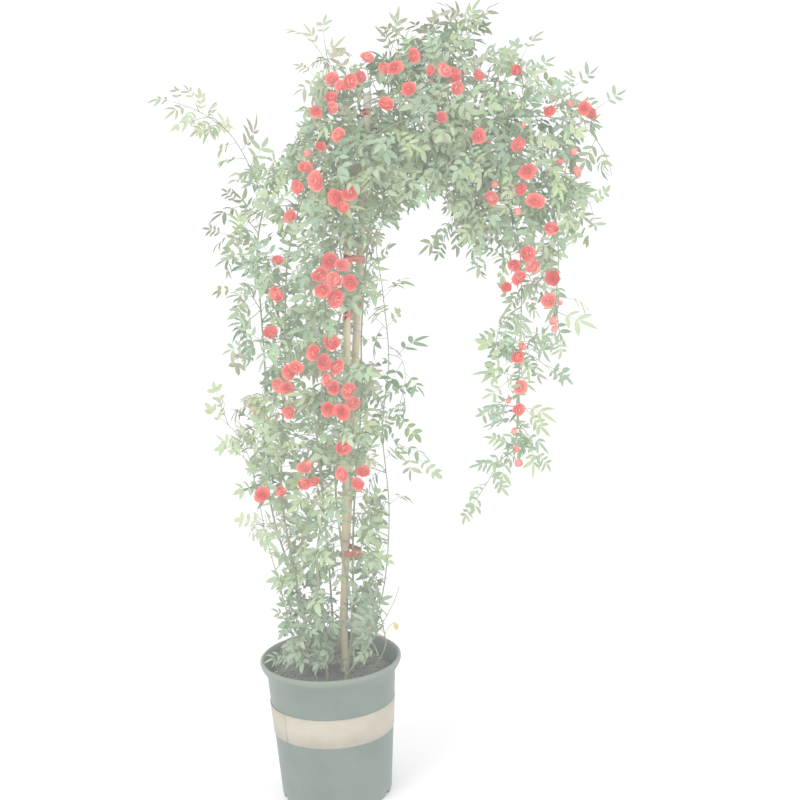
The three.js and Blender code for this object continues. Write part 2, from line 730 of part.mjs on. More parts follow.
// The place nearest to a point on any of some lines.
function nearest(point, from) {
  let best = { distance: Infinity };
  for (const line of from) {
    const steps = Math.ceil(line.curve.getLength() / 6);
    for (let i = 0; i <= steps; i++) {
      const at = line.curve.getPointAt(i / steps);
      const distance = at.distanceTo(point);
      if (distance < best.distance) best = { line, at, distance };
    }
  }
  return best;
}

// A stem or twig along its curve, settled and ready to bear others.
function growLine(part, curve, thick, sides, stepLength, ...parents) {
  const steps = Math.max(2, Math.round(curve.getLength() / stepLength));
  const radiusAt = tapering(...thick);
  const piece = tube(curve, steps, sides, radiusAt);
  if (!isClear(piece, ...parents)) throw new Error(part + " crosses another piece");
  settle(part, piece);
  const line = { part, curve: straightened(curve, steps), radiusAt, piece, steps, sides };
  lines.push(line);
  return line;
}

// A curve through points, cut short by the room that the leaf at its end takes.
function shortened(points, room) {
  const whole = through(points);
  const share = Math.max(LEAST_STEM, 1 - room / whole.getLength());
  return through(points.map((_, i) => whole.getPointAt((share * i) / (points.length - 1))));
}

// A cane from its foot in the soil to its tip, with its twigs.
function growCane(name) {
  const { route, thick, twigs } = canes[name];
  const [x, y, z] = route[0];
  const curve = shortened(vecs([[x, y, z - STEM_DEPTH], ...route]), TIP_ROOM * LEAFING.cane.size[1]);
  const own = [growLine(name + "/stem", curve, thick, CANE_SIDES, CANE_STEP)];
  own[0].hole = tube(curve, own[0].steps, CANE_SIDES, own[0].radiusAt, GAP);
  twigs.forEach((twig, i) => {
    const points = vecs(twig);
    points[0] = nearest(points[0], own).at;
    const parts = own.map((line) => line.part);
    const twigCurve = shortened(points, TIP_ROOM * LEAFING.twig.size[1]);
    own.push(growLine(name + "/twig" + i, twigCurve, TWIG_THICK, TWIG_SIDES, TWIG_STEP, ...parts));
  });
  return own;
}

// Two directions square to a line, to turn round it by.
function square(tangent) {
  const away = Math.abs(tangent.z) > 0.9 ? vec(0, 1, 0) : UP;
  const side = tangent.clone().cross(away).normalize();
  return [side, side.clone().cross(tangent).normalize()];
}

function turnedRound(tangent, angle) {
  const [side, other] = square(tangent);
  return side.multiplyScalar(Math.cos(angle)).addScaledVector(other, Math.sin(angle));
}

// One leaf from a place on a line, turned further round it until it is clear of everything.
function growLeaf(line, t, angle, length, keys) {
  const root = line.curve.getPointAt(t);
  const tangent = line.curve.getTangentAt(t);
  for (let go = 0; go < LEAF_TRIES; go++) {
    const out = turnedRound(tangent, angle + go * 1.15);
    const forward = between(0.25, 0.75, ...keys, 1);
    const rise = between(-0.45, 0.15, ...keys, 2);
    const along = out.addScaledVector(tangent, forward).addScaledVector(UP, rise).normalize();
    const lean = vec(between(-0.4, 0.4, ...keys, 3), between(-0.6, 0.1, ...keys, 4), 0.9);
    const up = lean.addScaledVector(along, -lean.dot(along)).normalize();
    const [fold, droop] = [between(0.1, 0.35, ...keys, 5), between(0.05, 0.28, ...keys, 6)];
    const piece = leafSolid(root, along, up, length, fold, droop);
    if (isClear(piece, line.part)) return settle(line.part.split("/")[0] + "/leaf", piece);
  }
  return null;
}

// Leaves in turn round a line, `every` millimetres from `from`, and one at its end.
function growLeaves(line, { from, every, size }, keys) {
  const length = line.curve.getLength();
  const leaves = [];
  const start = between(0, 6.28, ...keys);
  for (let k = 0; from + k * every < length - 6; k++) {
    const t = Math.min(0.97, (from + (k + between(-0.2, 0.2, ...keys, k)) * every) / length);
    leaves.push(growLeaf(line, t, start + k * GOLDEN, between(...size, ...keys, k, 7), [...keys, k]));
  }
  leaves.push(growTipLeaf(line, size[1], keys));
  return leaves.filter(Boolean);
}

// The leaf that carries on where a line ends.
function growTipLeaf(line, length, keys) {
  const root = line.curve.getPointAt(1 - 3 / line.curve.getLength());
  const tangent = line.curve.getTangentAt(1);
  for (let go = 0; go < LEAF_TRIES; go++) {
    const along = tangent.clone().addScaledVector(turnedRound(tangent, go * 1.3), go * 0.3).normalize();
    const lean = vec(between(-0.5, 0.5, ...keys, 11), -0.5, 0.8);
    const up = lean.addScaledVector(along, -lean.dot(along)).normalize();
    const piece = leafSolid(root, along, up, length, 0.2, 0.2);
    if (isClear(piece, line.part)) return settle(line.part.split("/")[0] + "/leaf", piece);
  }
  return null;
}

// A short side shoot that grows outwards and up, then nods. It is left out where nothing is clear.
function growShoot(line, t, angle, length) {
  const root = line.curve.getPointAt(t);
  const tangent = line.curve.getTangentAt(t);
  for (let go = 0; go < LEAF_TRIES; go++) {
    const out = turnedRound(tangent, angle + go * 1.15).addScaledVector(tangent, 0.35).normalize();
    const points = [0, 0.5, 1].map((s) =>
      root
        .clone()
        .addScaledVector(out, s * length)
        .addScaledVector(UP, length * (0.35 * s - 0.5 * s * s)),
    );
    const curve = through(points);
    const part = line.part.split("/")[0] + "/shoot" + settled.length;
    const piece = tube(curve, SHOOT_STEPS, TWIG_SIDES, tapering(...TWIG_THICK));
    if (!isClear(piece, line.part)) continue;
    settle(part, piece);
    return { part, curve: straightened(curve, SHOOT_STEPS), radiusAt: tapering(...TWIG_THICK), piece };
  }
  return null;
}

// ---------------------------------------------------------------- sprays of blooms

// The place just clear of a line from which a stalk to `hub` starts, moved up to its gap from the line.
function stalkRoot(line, at, hub, build) {
  const out = hub.clone().sub(at).normalize();
  let start = line.radiusAt(0) + GAP;
  let root = null;
  for (let go = 0; go < 5; go++) {
    root = at.clone().addScaledVector(out, start);
    const gap = build(root).minGap(line.piece, 8);
    if (Math.abs(gap - GAP) < 0.02) break;
    start += GAP + 0.01 - gap;
  }
  return root;
}

function knobShape() {
  return new THREE.IcosahedronGeometry(HUB_RADIUS).deleteAttribute("normal").deleteAttribute("uv");
}

// A stalk and the blooms that part from its knob, as one closed surface. Each leaves by its own face of
// the knob, and the blooms that find no face near their way are returned as `left`.
function headsOnKnob(hub, root, heads) {
  const knob = mergeVertices(knobShape());
  const place = knob.getAttribute("position");
  const points = [];
  for (let i = 0; i < place.count; i++) points.push(vec().fromBufferAttribute(place, i).add(hub));
  const free = [];
  for (let i = 0; i < knob.index.count; i += 3) free.push([0, 1, 2].map((k) => knob.index.getX(i + k)));
  const faces = [];
  const facing = (face, way) => {
    const middle = face.reduce((sum, k) => sum.add(points[k]), vec(0, 0, 0)).divideScalar(3);
    return middle.sub(hub).normalize().dot(way);
  };
  const takeFace = (way, least) => {
    const best = free.reduce((a, b) => (facing(b, way) > facing(a, way) ? b : a));
    return facing(best, way) > least ? free.splice(free.indexOf(best), 1)[0] : null;
  };
  const back = root.clone().sub(hub).normalize();
  addLimb(points, faces, takeFace(back, 0), [ringRound(root, back, STALK_RADIUS)], null);
  const left = heads.filter(({ bloom, axis }) => {
    const { way, rings, top } = bloomRings(bloom, axis, hub);
    const face = takeFace(way, KNOB_MATCH);
    if (face) addLimb(points, faces, face, rings, top);
    return !face;
  });
  return { spray: solid(points, [...faces, ...free]), left };
}

// Splits blooms into those that keep clear of the stalk and each other with their pedicels, and the rest.
function partedHeads(hub, stem, heads) {
  const clear = [];
  const crossing = [];
  const taken = [stem, solidOf(knobShape().translate(hub.x, hub.y, hub.z))];
  for (const head of heads) {
    const start = head.root.clone().sub(hub).setLength(1.4 * HUB_RADIUS).add(hub);
    const piece = bloomSolid(head.bloom, head.axis, start);
    const free = taken.every((other) => other.minGap(piece, 1) > 0.1);
    (free ? clear : crossing).push(head);
    if (free) taken.push(piece);
  }
  return { clear, crossing };
}

// The blooms of one spray on a stalk from a line, or straight on their pedicel where there is only one.
function sprayOn({ line, at }, heads, middle) {
  if (heads.length === 1) {
    const [{ bloom, axis, root }] = heads;
    const build = (from) => bloomSolid(bloom, axis, from);
    return build(stalkRoot(line, at, root, build));
  }
  const hub = middle.clone().lerp(at, HUB_SHARE);
  const stalk = (from, start = 0) => {
    const back = from.clone().sub(hub).normalize();
    const foot = hub.clone().addScaledVector(back, start);
    return capped([ringRound(foot, back, STALK_RADIUS), ringRound(from, back, STALK_RADIUS)], from);
  };
  const root = stalkRoot(line, at, hub, stalk);
  const { clear, crossing } = partedHeads(hub, stalk(root, 1.4 * HUB_RADIUS), heads);
  const { spray, left } = headsOnKnob(hub, root, clear);
  const rest = [...crossing, ...left].map(({ bloom, axis }) => bloomSolid(bloom, axis, hub));
  return rest.length ? joined([spray, ...rest]) : spray;
}

// A spray on the nearest line that it can reach without crossing anything.
function spraySolid(name) {
  const heads = sprays[name].map((bloom) => {
    const [x, y, z, radius] = bloom;
    const axis = bloomAxis(bloom);
    return { bloom, axis, root: vec(x, y, z).addScaledVector(axis, CALYX.lift * radius) };
  });
  const middle = heads.reduce((sum, { root }) => sum.add(root), vec(0, 0, 0)).divideScalar(heads.length);
  const near = lines.map((line) => nearest(middle, [line])).sort((a, b) => a.distance - b.distance);
  for (const place of near.slice(0, 6)) {
    const spray = sprayOn(place, heads, middle);
    if (spray && isClear(spray)) return settle(name, spray);
  }
  throw new Error("no clear stalk for " + name);
}

// ---------------------------------------------------------------- the whole plant

const material = (color, roughness) => new THREE.MeshStandardMaterial({ color, roughness, metalness: 0 });

const finishes = {
  pot: material(0x4f6f5f, 0.6),
  band: material(0xd8cfae, 0.8),
  soil: material(0x4a3f33, 1),
  bamboo: material(0xc9ad7c, 0.6),
  tape: material(0xd8402c, 0.5),
  leaf: material(0x5f8a4a, 0.6),
  bloom: material(0xe02a2a, 0.7),
};

const rose = new THREE.Group();

function addNode(name, piece, finish) {
  const { numProp, vertProperties, triVerts } = piece.getMesh();
  if (numProp !== 3) throw new Error(name + " carries more than places");
  const geometry = new THREE.BufferGeometry();
  geometry.setAttribute("position", new THREE.BufferAttribute(vertProperties, 3));
  geometry.setIndex(new THREE.BufferAttribute(triVerts, 1));
  geometry.computeVertexNormals();
  const mesh = new THREE.Mesh(geometry, finish);
  mesh.name = name;
  rose.add(mesh);
}

addNode("pot", settle("pot", potSolid()), finishes.pot);
addNode("label_band", settle("label_band", bandSolid()), finishes.band);
addNode("tall_stake", settle("tall_stake", stakeSolid(STAKES.tall)), finishes.bamboo);
addNode("short_stake", settle("short_stake", stakeSolid(STAKES.short)), finishes.bamboo);

const grown = Object.keys(canes).map((name) => ({ name, own: growCane(name), pieces: [] }));

const holes = [STAKES.tall, STAKES.short].map((stake) => stakeSolid(stake, GAP));
for (const { own } of grown) holes.push(own[0].hole);
addNode("potting_mix", settle("potting_mix", soilSolid(holes)), finishes.soil);

// A stake or a cane as a tie goes round it at a height.
function stakeMember(stake, z) {
  return { centre: stakeCentre(stake, z), radius: stake.radius };
}

function caneMember(name, z) {
  const { curve, radiusAt } = lines.find((line) => line.part === name + "/stem");
  const step = 1 / 400;
  let at = 0;
  while (curve.getPointAt(at).z < z) at += step;
  return { centre: curve.getPointAt(at), radius: radiusAt(at) / Math.cos(Math.PI / CULM.sides) };
}

const ties = {
  low_tie: { height: 409, slope: 0.1, among: ["tall", "short"], cane: "stake_cane" },
  middle_tie: { height: 799, slope: 0.75, among: ["tall", "short"] },
  upper_tie: { height: 878, slope: -0.15, among: ["tall", "short"] },
  top_tie: { height: 1098, slope: 0.05, among: ["tall"] },
};
for (const [name, { height, slope, among, cane }] of Object.entries(ties)) {
  const pivot = stakeCentre(STAKES[among[0]], height).x;
  const members = among.map((key) => {
    const x = stakeCentre(STAKES[key], height).x;
    return stakeMember(STAKES[key], height + slope * (x - pivot));
  });
  if (cane) members.push(caneMember(cane, height));
  const piece = tieSolid({ height, slope, members });
  if (!isClear(piece)) throw new Error(name + " crosses another piece");
  addNode(name, settle(name, piece), finishes.tape);
}

const sprayPieces = Object.keys(sprays).map((name) => [name, spraySolid(name)]);

grown.forEach(({ name, own, pieces }, index) => {
  own.forEach((line, i) => {
    pieces.push(line.piece, ...growLeaves(line, i ? LEAFING.twig : LEAFING.cane, [index, i]));
  });
  const [stem] = own;
  const length = stem.curve.getLength();
  const { from, every, reach, leaves } = LEAFING.shoots;
  for (let k = 0; from + k * every < length - 40; k++) {
    const keys = [index, 50, k];
    const t = (from + k * every) / length;
    const shoot = growShoot(stem, t, k * GOLDEN + index, between(...reach, ...keys));
    if (!shoot) continue;
    pieces.push(shoot.piece, ...growLeaves(shoot, leaves, keys));
  }
  addNode(name, joined(pieces), finishes.leaf);
});
for (const [name, piece] of sprayPieces) addNode("blooms_" + name, piece, finishes.bloom);

export default rose;
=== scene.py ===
# %% [markdown]
# # A climbing rose in its pot
#
# A climbing rose grows from a nursery pot. Its canes are tied to two bamboo stakes with red tape, arch over at
# the top and hang down again in a long tail. The plant was first made as solids, and this lesson dresses them:
# each stem, leaf, petal and crumb of soil gets its real shape and finish.
#
# Cells run from top to bottom. Lengths are in metres, and tables are in millimetres and turned into metres
# where they are read. The plant's front is towards -Y.

import math

import bmesh
import bpy
from mathutils import Matrix, Vector, noise


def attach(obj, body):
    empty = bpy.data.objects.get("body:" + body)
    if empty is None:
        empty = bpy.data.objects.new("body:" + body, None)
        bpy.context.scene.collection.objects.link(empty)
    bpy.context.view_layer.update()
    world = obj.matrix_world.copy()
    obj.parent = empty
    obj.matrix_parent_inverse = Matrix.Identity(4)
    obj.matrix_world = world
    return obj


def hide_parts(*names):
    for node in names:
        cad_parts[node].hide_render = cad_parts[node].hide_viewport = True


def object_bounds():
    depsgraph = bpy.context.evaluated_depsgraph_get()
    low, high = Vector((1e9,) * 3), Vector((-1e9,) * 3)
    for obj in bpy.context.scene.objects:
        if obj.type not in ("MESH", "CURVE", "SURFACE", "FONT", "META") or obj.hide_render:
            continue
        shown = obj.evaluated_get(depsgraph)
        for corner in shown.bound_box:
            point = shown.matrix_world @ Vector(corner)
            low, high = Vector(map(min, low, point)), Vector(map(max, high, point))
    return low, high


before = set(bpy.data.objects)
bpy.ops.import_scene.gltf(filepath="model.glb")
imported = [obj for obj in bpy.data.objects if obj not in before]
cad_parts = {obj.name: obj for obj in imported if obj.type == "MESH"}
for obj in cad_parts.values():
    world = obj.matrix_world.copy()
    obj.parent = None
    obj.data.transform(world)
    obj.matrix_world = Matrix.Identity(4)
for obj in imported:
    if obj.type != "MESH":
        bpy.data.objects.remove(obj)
SOLID_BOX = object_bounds()
MM = 0.001
UP = Vector((0, 0, 1))
print("solids:", len(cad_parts), "box:", [[round(v, 3) for v in corner] for corner in SOLID_BOX])

# %% [markdown]
# ## The camera
#
# The plant is seen from the front, a little above the middle of its height, with the camera turned slightly
# so that the pot stands almost upright. A long lens from over two metres keeps the pot's sides nearly
# parallel. It could be aimed with a Track To constraint, but plain angles are easier to read and to adjust.

# %% Camera
EYE = (0.1303, -2.1668, 1.0682)
LOOK_DOWN = 10.88  # degrees
TILT = -2.38  # degrees
LENS = 63.0  # millimetres, on a frame as wide as FRAME_WIDE
FRAME_WIDE = 36
FARTHEST = 60

camera_data = bpy.data.cameras.new("camera")
camera_data.lens = LENS
camera_data.sensor_width = FRAME_WIDE
camera_data.clip_end = FARTHEST
camera = bpy.data.objects.new("camera", camera_data)
camera.matrix_world = (
    Matrix.Translation(EYE)
    @ Matrix.Rotation(math.radians(90 - LOOK_DOWN), 4, "X")
    @ Matrix.Rotation(math.radians(TILT), 4, "Z")
)
bpy.context.scene.collection.objects.link(camera)
bpy.context.scene.camera = camera
print("camera:", LENS, "mm lens,", LOOK_DOWN, "degrees down")

# %% [markdown]
# ## Light, floor and background
#
# The plant stands in a bright white studio. A white world lights it from all sides, which keeps shadows open
# and colours pale. One large soft lamp from the upper left gives the leaves a lit side, and a weaker one from
# the right softens the shade. The Standard view keeps whites white, where a filmic view would grey them.
#
# The picture is meant to look like a faded print, in which nothing is black. A compositor could mix white in,
# but the view's own curve does the same with less: `FADE` is how much white every dark is lifted by. The curve
# works on light, so its places are worked out from screen values.

# %% Studio
scene = bpy.context.scene
scene.view_settings.view_transform = "Standard"
scene.view_settings.look = "None"
FADE = 0.38
FADE_STEPS = (0.004, 0.015, 0.04, 0.1, 0.2, 0.4, 0.7)
SKY = 1.15


def to_light(screen):
    """The light that gives a screen value, both from 0 to 1."""
    return screen / 12.92 if screen <= 0.04045 else ((screen + 0.055) / 1.055) ** 2.4


def to_screen(light):
    return light * 12.92 if light <= 0.0031308 else 1.055 * light ** (1 / 2.4) - 0.055


scene.view_settings.use_curve_mapping = True
fade_curve = scene.view_settings.curve_mapping.curves[3]  # the one for all colours at once
fade_curve.points[0].location = (0, to_light(FADE))
for light in FADE_STEPS:
    fade_curve.points.new(light, to_light(FADE + (1 - FADE) * to_screen(light)))
scene.view_settings.curve_mapping.update()

world = bpy.data.worlds.new("studio")
world.use_nodes = True
background = world.node_tree.nodes["Background"]
background.inputs["Color"].default_value = (1, 1, 1, 1)
background.inputs["Strength"].default_value = SKY
scene.world = world


def soft_lamp(name, place, aim, size, watts):
    """A square lamp at `place` that shines at `aim`."""
    light = bpy.data.lights.new(name, "AREA")
    light.size = size
    light.energy = watts
    lamp = bpy.data.objects.new(name, light)
    way = (Vector(aim) - Vector(place)).normalized()
    lamp.matrix_world = Matrix.Translation(place) @ way.to_track_quat("-Z", "Y").to_matrix().to_4x4()
    scene.collection.objects.link(lamp)


soft_lamp("key", (-1.6, -2.2, 2.6), (0.1, 0, 0.8), 1.6, 52)
soft_lamp("fill", (2.2, -1.6, 1.4), (0.1, 0, 0.7), 1.8, 14)

# %% [markdown]
# ## Small helpers for making pieces
#
# A bmesh is a mesh that is still being worked on, and `as_mesh` turns it into a finished one. `finish_piece`
# makes an object of it, gives it its materials, makes it ride on the plant's one body, and hides the solid that
# it stands for.
#
# `draw` gives a number from 0 to 1 that depends only on its whole-number keys. It is used instead of a random
# generator, so that the same leaf comes out the same way on each run, also when others are added before it.

# %% Helpers
made = {}


def metres(place):
    """A place given in millimetres."""
    return Vector(place) * MM


def as_mesh(name, bm):
    mesh = bpy.data.meshes.new(name)
    bm.to_mesh(mesh)
    bm.free()
    return mesh


def finish_piece(name, bm, materials, stands_for, smooth=True, crease=None):
    """An object from a bmesh, with its place in its mesh. Edges sharper than `crease` degrees stay sharp."""
    mesh = as_mesh(name, bm)
    if smooth:
        mesh.shade_smooth()
    if crease:
        mesh.set_sharp_from_angle(angle=math.radians(crease))
    for material in materials:
        mesh.materials.append(material)
    piece = bpy.data.objects.new(name, mesh)
    scene.collection.objects.link(piece)
    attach(piece, "root")
    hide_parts(*stands_for)
    mesh.calc_loop_triangles()
    made[name] = len(mesh.loop_triangles)


HASH_START = 2166136261
HASH_STEP = 16777619
HASH_STIR = 1540483477
WORD = 2**32  # one more than the largest whole number kept


def draw(*keys):
    """A number from 0 to 1 that depends only on its whole-number keys, which are stirred into each other."""
    h = HASH_START
    for key in keys:
        h = ((h ^ int(key)) * HASH_STEP) % WORD
        h ^= h >> 13
        h = (h * HASH_STIR) % WORD
        h ^= h >> 15
    return h / WORD


def between(low, high, *keys):
    return low + (high - low) * draw(*keys)


def ease(t):
    """0 before 0, 1 after 1, and smooth between them."""
    t = min(1.0, max(0.0, t))
    return t * t * (3 - 2 * t)


print("the same draw each run:", round(draw(1, 2, 3), 6))

# %% [markdown]
# ## Shared shader effects
#
# Finishes are built from nodes, and a few short functions keep that readable: each adds one node, feeds its
# inputs and gives its output. What several finishes share, such as a colour that drifts in patches, is built
# once as a node group with named inputs, and each material places it with its own values. A group puts out only
# colours and masks, and the shader itself stays in the material.

# %% Node group helpers


def new_group(name, inputs, outputs):
    """An empty shader group with its sockets. `inputs` gives each one's type and default value."""
    group = bpy.data.node_groups.new(name, "ShaderNodeTree")
    for label, (kind, value) in inputs.items():
        socket = group.interface.new_socket(label, in_out="INPUT", socket_type="NodeSocket" + kind)
        socket.default_value = value
    for label, kind in outputs.items():
        group.interface.new_socket(label, in_out="OUTPUT", socket_type="NodeSocket" + kind)
    start = group.nodes.new("NodeGroupInput")
    end = group.nodes.new("NodeGroupOutput")
    return group, start, end


def feed(tree, socket, value):
    """Gives an input its value, or links it to the output of another node."""
    if isinstance(value, bpy.types.NodeSocket):
        tree.links.new(value, socket)
    else:
        socket.default_value = value


def add_node(tree, kind, **values):
    """A node with its settings, and with values or links for its inputs."""
    node = tree.nodes.new(kind)
    for label, value in values.items():
        if hasattr(node, label):
            setattr(node, label, value)
        else:
            feed(tree, node.inputs[label], value)
    return node


def mix_colour(tree, factor, low, high):
    """A colour between two others. Each may be a colour or another node's output."""
    node = add_node(tree, "ShaderNodeMix", data_type="RGBA")
    for number, value in ((0, factor), (6, low), (7, high)):  # the inputs and the output that colours use
        feed(tree, node.inputs[number], value)
    return node.outputs[2]


def calculate(tree, how, a, b=0.0):
    """One sum with two values, each a number or another node's output."""
    node = add_node(tree, "ShaderNodeMath", operation=how)
    feed(tree, node.inputs[0], a)
    feed(tree, node.inputs[1], b)
    return node.outputs[0]


def scaled(tree, value, factor):
    return calculate(tree, "MULTIPLY", value, factor)


def rescale(tree, value, low, high, to_low=0.0, to_high=1.0):
    """A value's range mapped to another, and held inside it."""
    node = tree.nodes.new("ShaderNodeMapRange")
    tree.links.new(value, node.inputs["Value"])
    for label, number in (("From Min", low), ("From Max", high), ("To Min", to_low), ("To Max", to_high)):
        node.inputs[label].default_value = number
    return node.outputs["Result"]


def soft_noise(tree, place, scale, detail=2.0):
    """A noise from 0 to 1 at a place. Its scale is how many patches of it fit in a metre, more or less."""
    node = add_node(tree, "ShaderNodeTexNoise", Vector=place, Scale=scale, Detail=detail)
    return node.outputs["Fac"]


def mark(tree, label):
    """A value that the mesh carries at each of its places, such as how old a stem is there."""
    return add_node(tree, "ShaderNodeAttribute", attribute_name=label).outputs["Fac"]


def object_place(tree):
    return tree.nodes.new("ShaderNodeTexCoord").outputs["Object"]


def height_of(tree, place):
    return add_node(tree, "ShaderNodeSeparateXYZ", Vector=place).outputs["Z"]


def bump(tree, shader, height, strength, distance):
    """Relief from a height, in metres at full strength."""
    node = add_node(tree, "ShaderNodeBump", Height=height, Strength=strength, Distance=distance)
    tree.links.new(node.outputs["Normal"], shader.inputs["Normal"])


def colour(red, green, blue):
    """A colour given as it looks on screen, from 0 to 255, in the linear values that shaders use."""
    return (*(to_light(value / 255) for value in (red, green, blue)), 1.0)


def new_material(name, **sockets):
    """A material with its Principled shader, whose plain values are set on its own sockets."""
    material = bpy.data.materials.new(name)
    material.use_nodes = True
    shader = material.node_tree.nodes["Principled BSDF"]
    for label, value in sockets.items():
        shader.inputs[label.replace("_", " ")].default_value = value
    return material, material.node_tree, shader


print("a mid grey as a shader value:", round(colour(128, 128, 128)[0], 3))

# %% [markdown]
# ## The drift effect
#
# No surface is one flat colour. `drift` mixes a light and a dark tone by a soft noise, and lets a much finer
# noise break it up. Two noises of different scale look more natural than one, and cost little. Its second
# output is the fine noise itself, for relief.

# %% Drift group


def build_drift():
    """Soft patches and a fine mottle, as one colour and one height."""
    group, start, end = new_group(
        "drift",
        {
            "Vector": ("Vector", (0, 0, 0)),
            "Light": ("Color", (1, 1, 1, 1)),
            "Dark": ("Color", (0, 0, 0, 1)),
            "Patch Scale": ("Float", 20.0),
            "Mottle Scale": ("Float", 300.0),
            "Mottle": ("Float", 0.3),
        },
        {"Color": "Color", "Height": "Float"},
    )
    patches = soft_noise(group, start.outputs["Vector"], start.outputs["Patch Scale"])
    fine = soft_noise(group, start.outputs["Vector"], start.outputs["Mottle Scale"], 3.0)
    soft = rescale(group, patches, 0.32, 0.68)
    grain = scaled(group, calculate(group, "SUBTRACT", fine, 0.5), start.outputs["Mottle"])
    share = rescale(group, calculate(group, "ADD", soft, scaled(group, grain, 4.0)), 0.0, 1.0)
    mixed = mix_colour(group, share, start.outputs["Dark"], start.outputs["Light"])
    group.links.new(mixed, end.inputs["Color"])
    group.links.new(fine, end.inputs["Height"])
    return group


DRIFT = build_drift()


def drift(tree, vector, light, dark, patch, mottle_scale, mottle):
    """The drift group placed in a material. Gives its colour and its height."""
    node = add_node(tree, "ShaderNodeGroup", node_tree=DRIFT, Vector=vector, Light=light, Dark=dark)
    for label, value in (("Patch Scale", patch), ("Mottle Scale", mottle_scale), ("Mottle", mottle)):
        node.inputs[label].default_value = value
    return node.outputs["Color"], node.outputs["Height"]


print("groups:", [group.name for group in bpy.data.node_groups])

# %% [markdown]
# ## The pot
#
# The pot is blow-moulded green plastic, 2.4 mm thick, with a flared rim that is rolled over at its lip. It is
# round, so it is drawn as half of its cut-through outline and spun about its middle. The drain notches at its
# foot are cut out with small blocks afterwards, because a spin can't make something that isn't round.

# %% Pot
POT_OUTSIDE = [  # [radius, height] in millimetres, from the middle of the underside up to the lip
    (0, 0.8), (60, 0.8), (80, 0.4), (86, 0), (88.4, 0.4), (89.7, 1.6), (90.4, 5), (91.1, 15), (92.4, 34),
    (97, 101), (104.2, 204), (104.6, 208), (106.4, 212.5), (110, 217), (112.6, 221.5), (114.4, 226),
    (115, 229.2), (114.4, 231.6), (112.8, 232.9),
]
POT_INSIDE = [  # from the lip down to the middle of the floor
    (110.9, 232.8), (109.4, 231.4), (108.2, 228.6), (106.6, 222.5), (103.6, 214), (102.1, 208), (94.6, 100),
    (88.2, 8), (86, 3.6), (83, 3), (0, 3),
]
POT_STEPS = 96


def spin_round(bm, shape, angle, steps, closed):
    """Spins some geometry about the Z axis, and joins its end to its start where it is closed."""
    bmesh.ops.spin(
        bm, geom=shape, cent=(0, 0, 0), axis=UP, dvec=(0, 0, 0), angle=angle, steps=steps,
        use_merge=closed, use_duplicate=False,
    )


def spun(bm, outline, steps):
    """A round body from half of its outline, as [radius, height] in millimetres."""
    corners = [bm.verts.new((r * MM, 0, z * MM)) for r, z in outline]
    edges = [bm.edges.new(pair) for pair in zip(corners, corners[1:])]
    spin_round(bm, corners + edges, 2 * math.pi, steps, True)
    bmesh.ops.remove_doubles(bm, verts=bm.verts, dist=1e-6)
    bmesh.ops.recalc_face_normals(bm, faces=bm.faces)


pot = bmesh.new()
spun(pot, POT_OUTSIDE + POT_INSIDE, POT_STEPS)
print("pot wall:", len(pot.faces), "faces, radius", max(r for r, _ in POT_OUTSIDE), "mm")

# %% [markdown]
# ## The drain notches
#
# Eight notches round the foot let water out. A Boolean modifier cuts them, because it leaves a clean closed
# body where blocks cross a curved wall. The two bodies need to be objects for that, so they are made for the
# moment and removed once the result is read back.

# %% Drain notches
DRAIN_NOTCHES = 8
NOTCH = (14, 15, 16)  # how deep, wide and high a block is, in millimetres. Half of it is below the pot
NOTCH_OUT = 90  # how far a block's middle is from the pot's


def cut_by(bm, blocks):
    """What is left of a body after other bodies are cut out of it."""
    body = bpy.data.objects.new("body", as_mesh("body", bm))
    cutter = bpy.data.objects.new("blocks", as_mesh("blocks", blocks))
    for thing in (body, cutter):
        scene.collection.objects.link(thing)
    cut = body.modifiers.new("cut", "BOOLEAN")
    cut.operation = "DIFFERENCE"
    cut.solver = "EXACT"
    cut.object = cutter
    result = bmesh.new()
    result.from_object(body, bpy.context.evaluated_depsgraph_get())
    for thing in (body, cutter):
        mesh = thing.data
        bpy.data.objects.remove(thing)
        bpy.data.meshes.remove(mesh)
    return result


notches = bmesh.new()
for k in range(DRAIN_NOTCHES):
    turn = Matrix.Rotation(2 * math.pi * (k + 0.5) / DRAIN_NOTCHES, 4, "Z")
    size = Matrix.Diagonal((*(side * MM for side in NOTCH), 1))
    bmesh.ops.create_cube(notches, size=1, matrix=turn @ Matrix.Translation((NOTCH_OUT * MM, 0, 0)) @ size)
pot = cut_by(pot, notches)
print("pot with notches:", len(pot.faces), "faces")

# %% [markdown]
# ## The pot's finish
#
# The plastic is a dull grey-green with a faint grain. Its rolled lip is painted paler all round, a painted
# highlight, and dust gathers near its foot. Both depend only on height, so the Z of the object's coordinates is
# enough to place them.

# %% Pot finish
LIP_HIGHLIGHT = (0.222, 0.2315)  # heights over which the lip is painted paler, a painted highlight
DUSTY = (0.03, 0.0)  # heights over which dust thickens towards the foot

pot_plastic, tree, shader = new_material("pot_plastic", Roughness=0.5, Specular_IOR_Level=0.4)
here = object_place(tree)
tone, fine = drift(tree, here, colour(77, 97, 85), colour(65, 85, 74), 14, 420, 0.6)
height = height_of(tree, here)
# painted highlight: the rolled lip is painted paler by its height
tone = mix_colour(tree, rescale(tree, height, *LIP_HIGHLIGHT, 0.0, 0.45), tone, colour(122, 135, 118))
tone = mix_colour(tree, rescale(tree, height, *DUSTY, 0.0, 0.35), tone, colour(108, 117, 104))
tree.links.new(tone, shader.inputs["Base Color"])
bump(tree, shader, fine, 0.25, 0.0006)
finish_piece("pot_wall", pot, [pot_plastic], ["pot"], crease=35)
print("pot:", made["pot_wall"], "triangles")

# %% [markdown]
# ## The label band
#
# A strip of cream printed plastic goes round the pot, and its end laps over its start. It is a thin upright
# strip, spun a little more than a full turn, then let out slowly as it goes round so that the lap lies on top
# of where it began. It carries no lettering here.

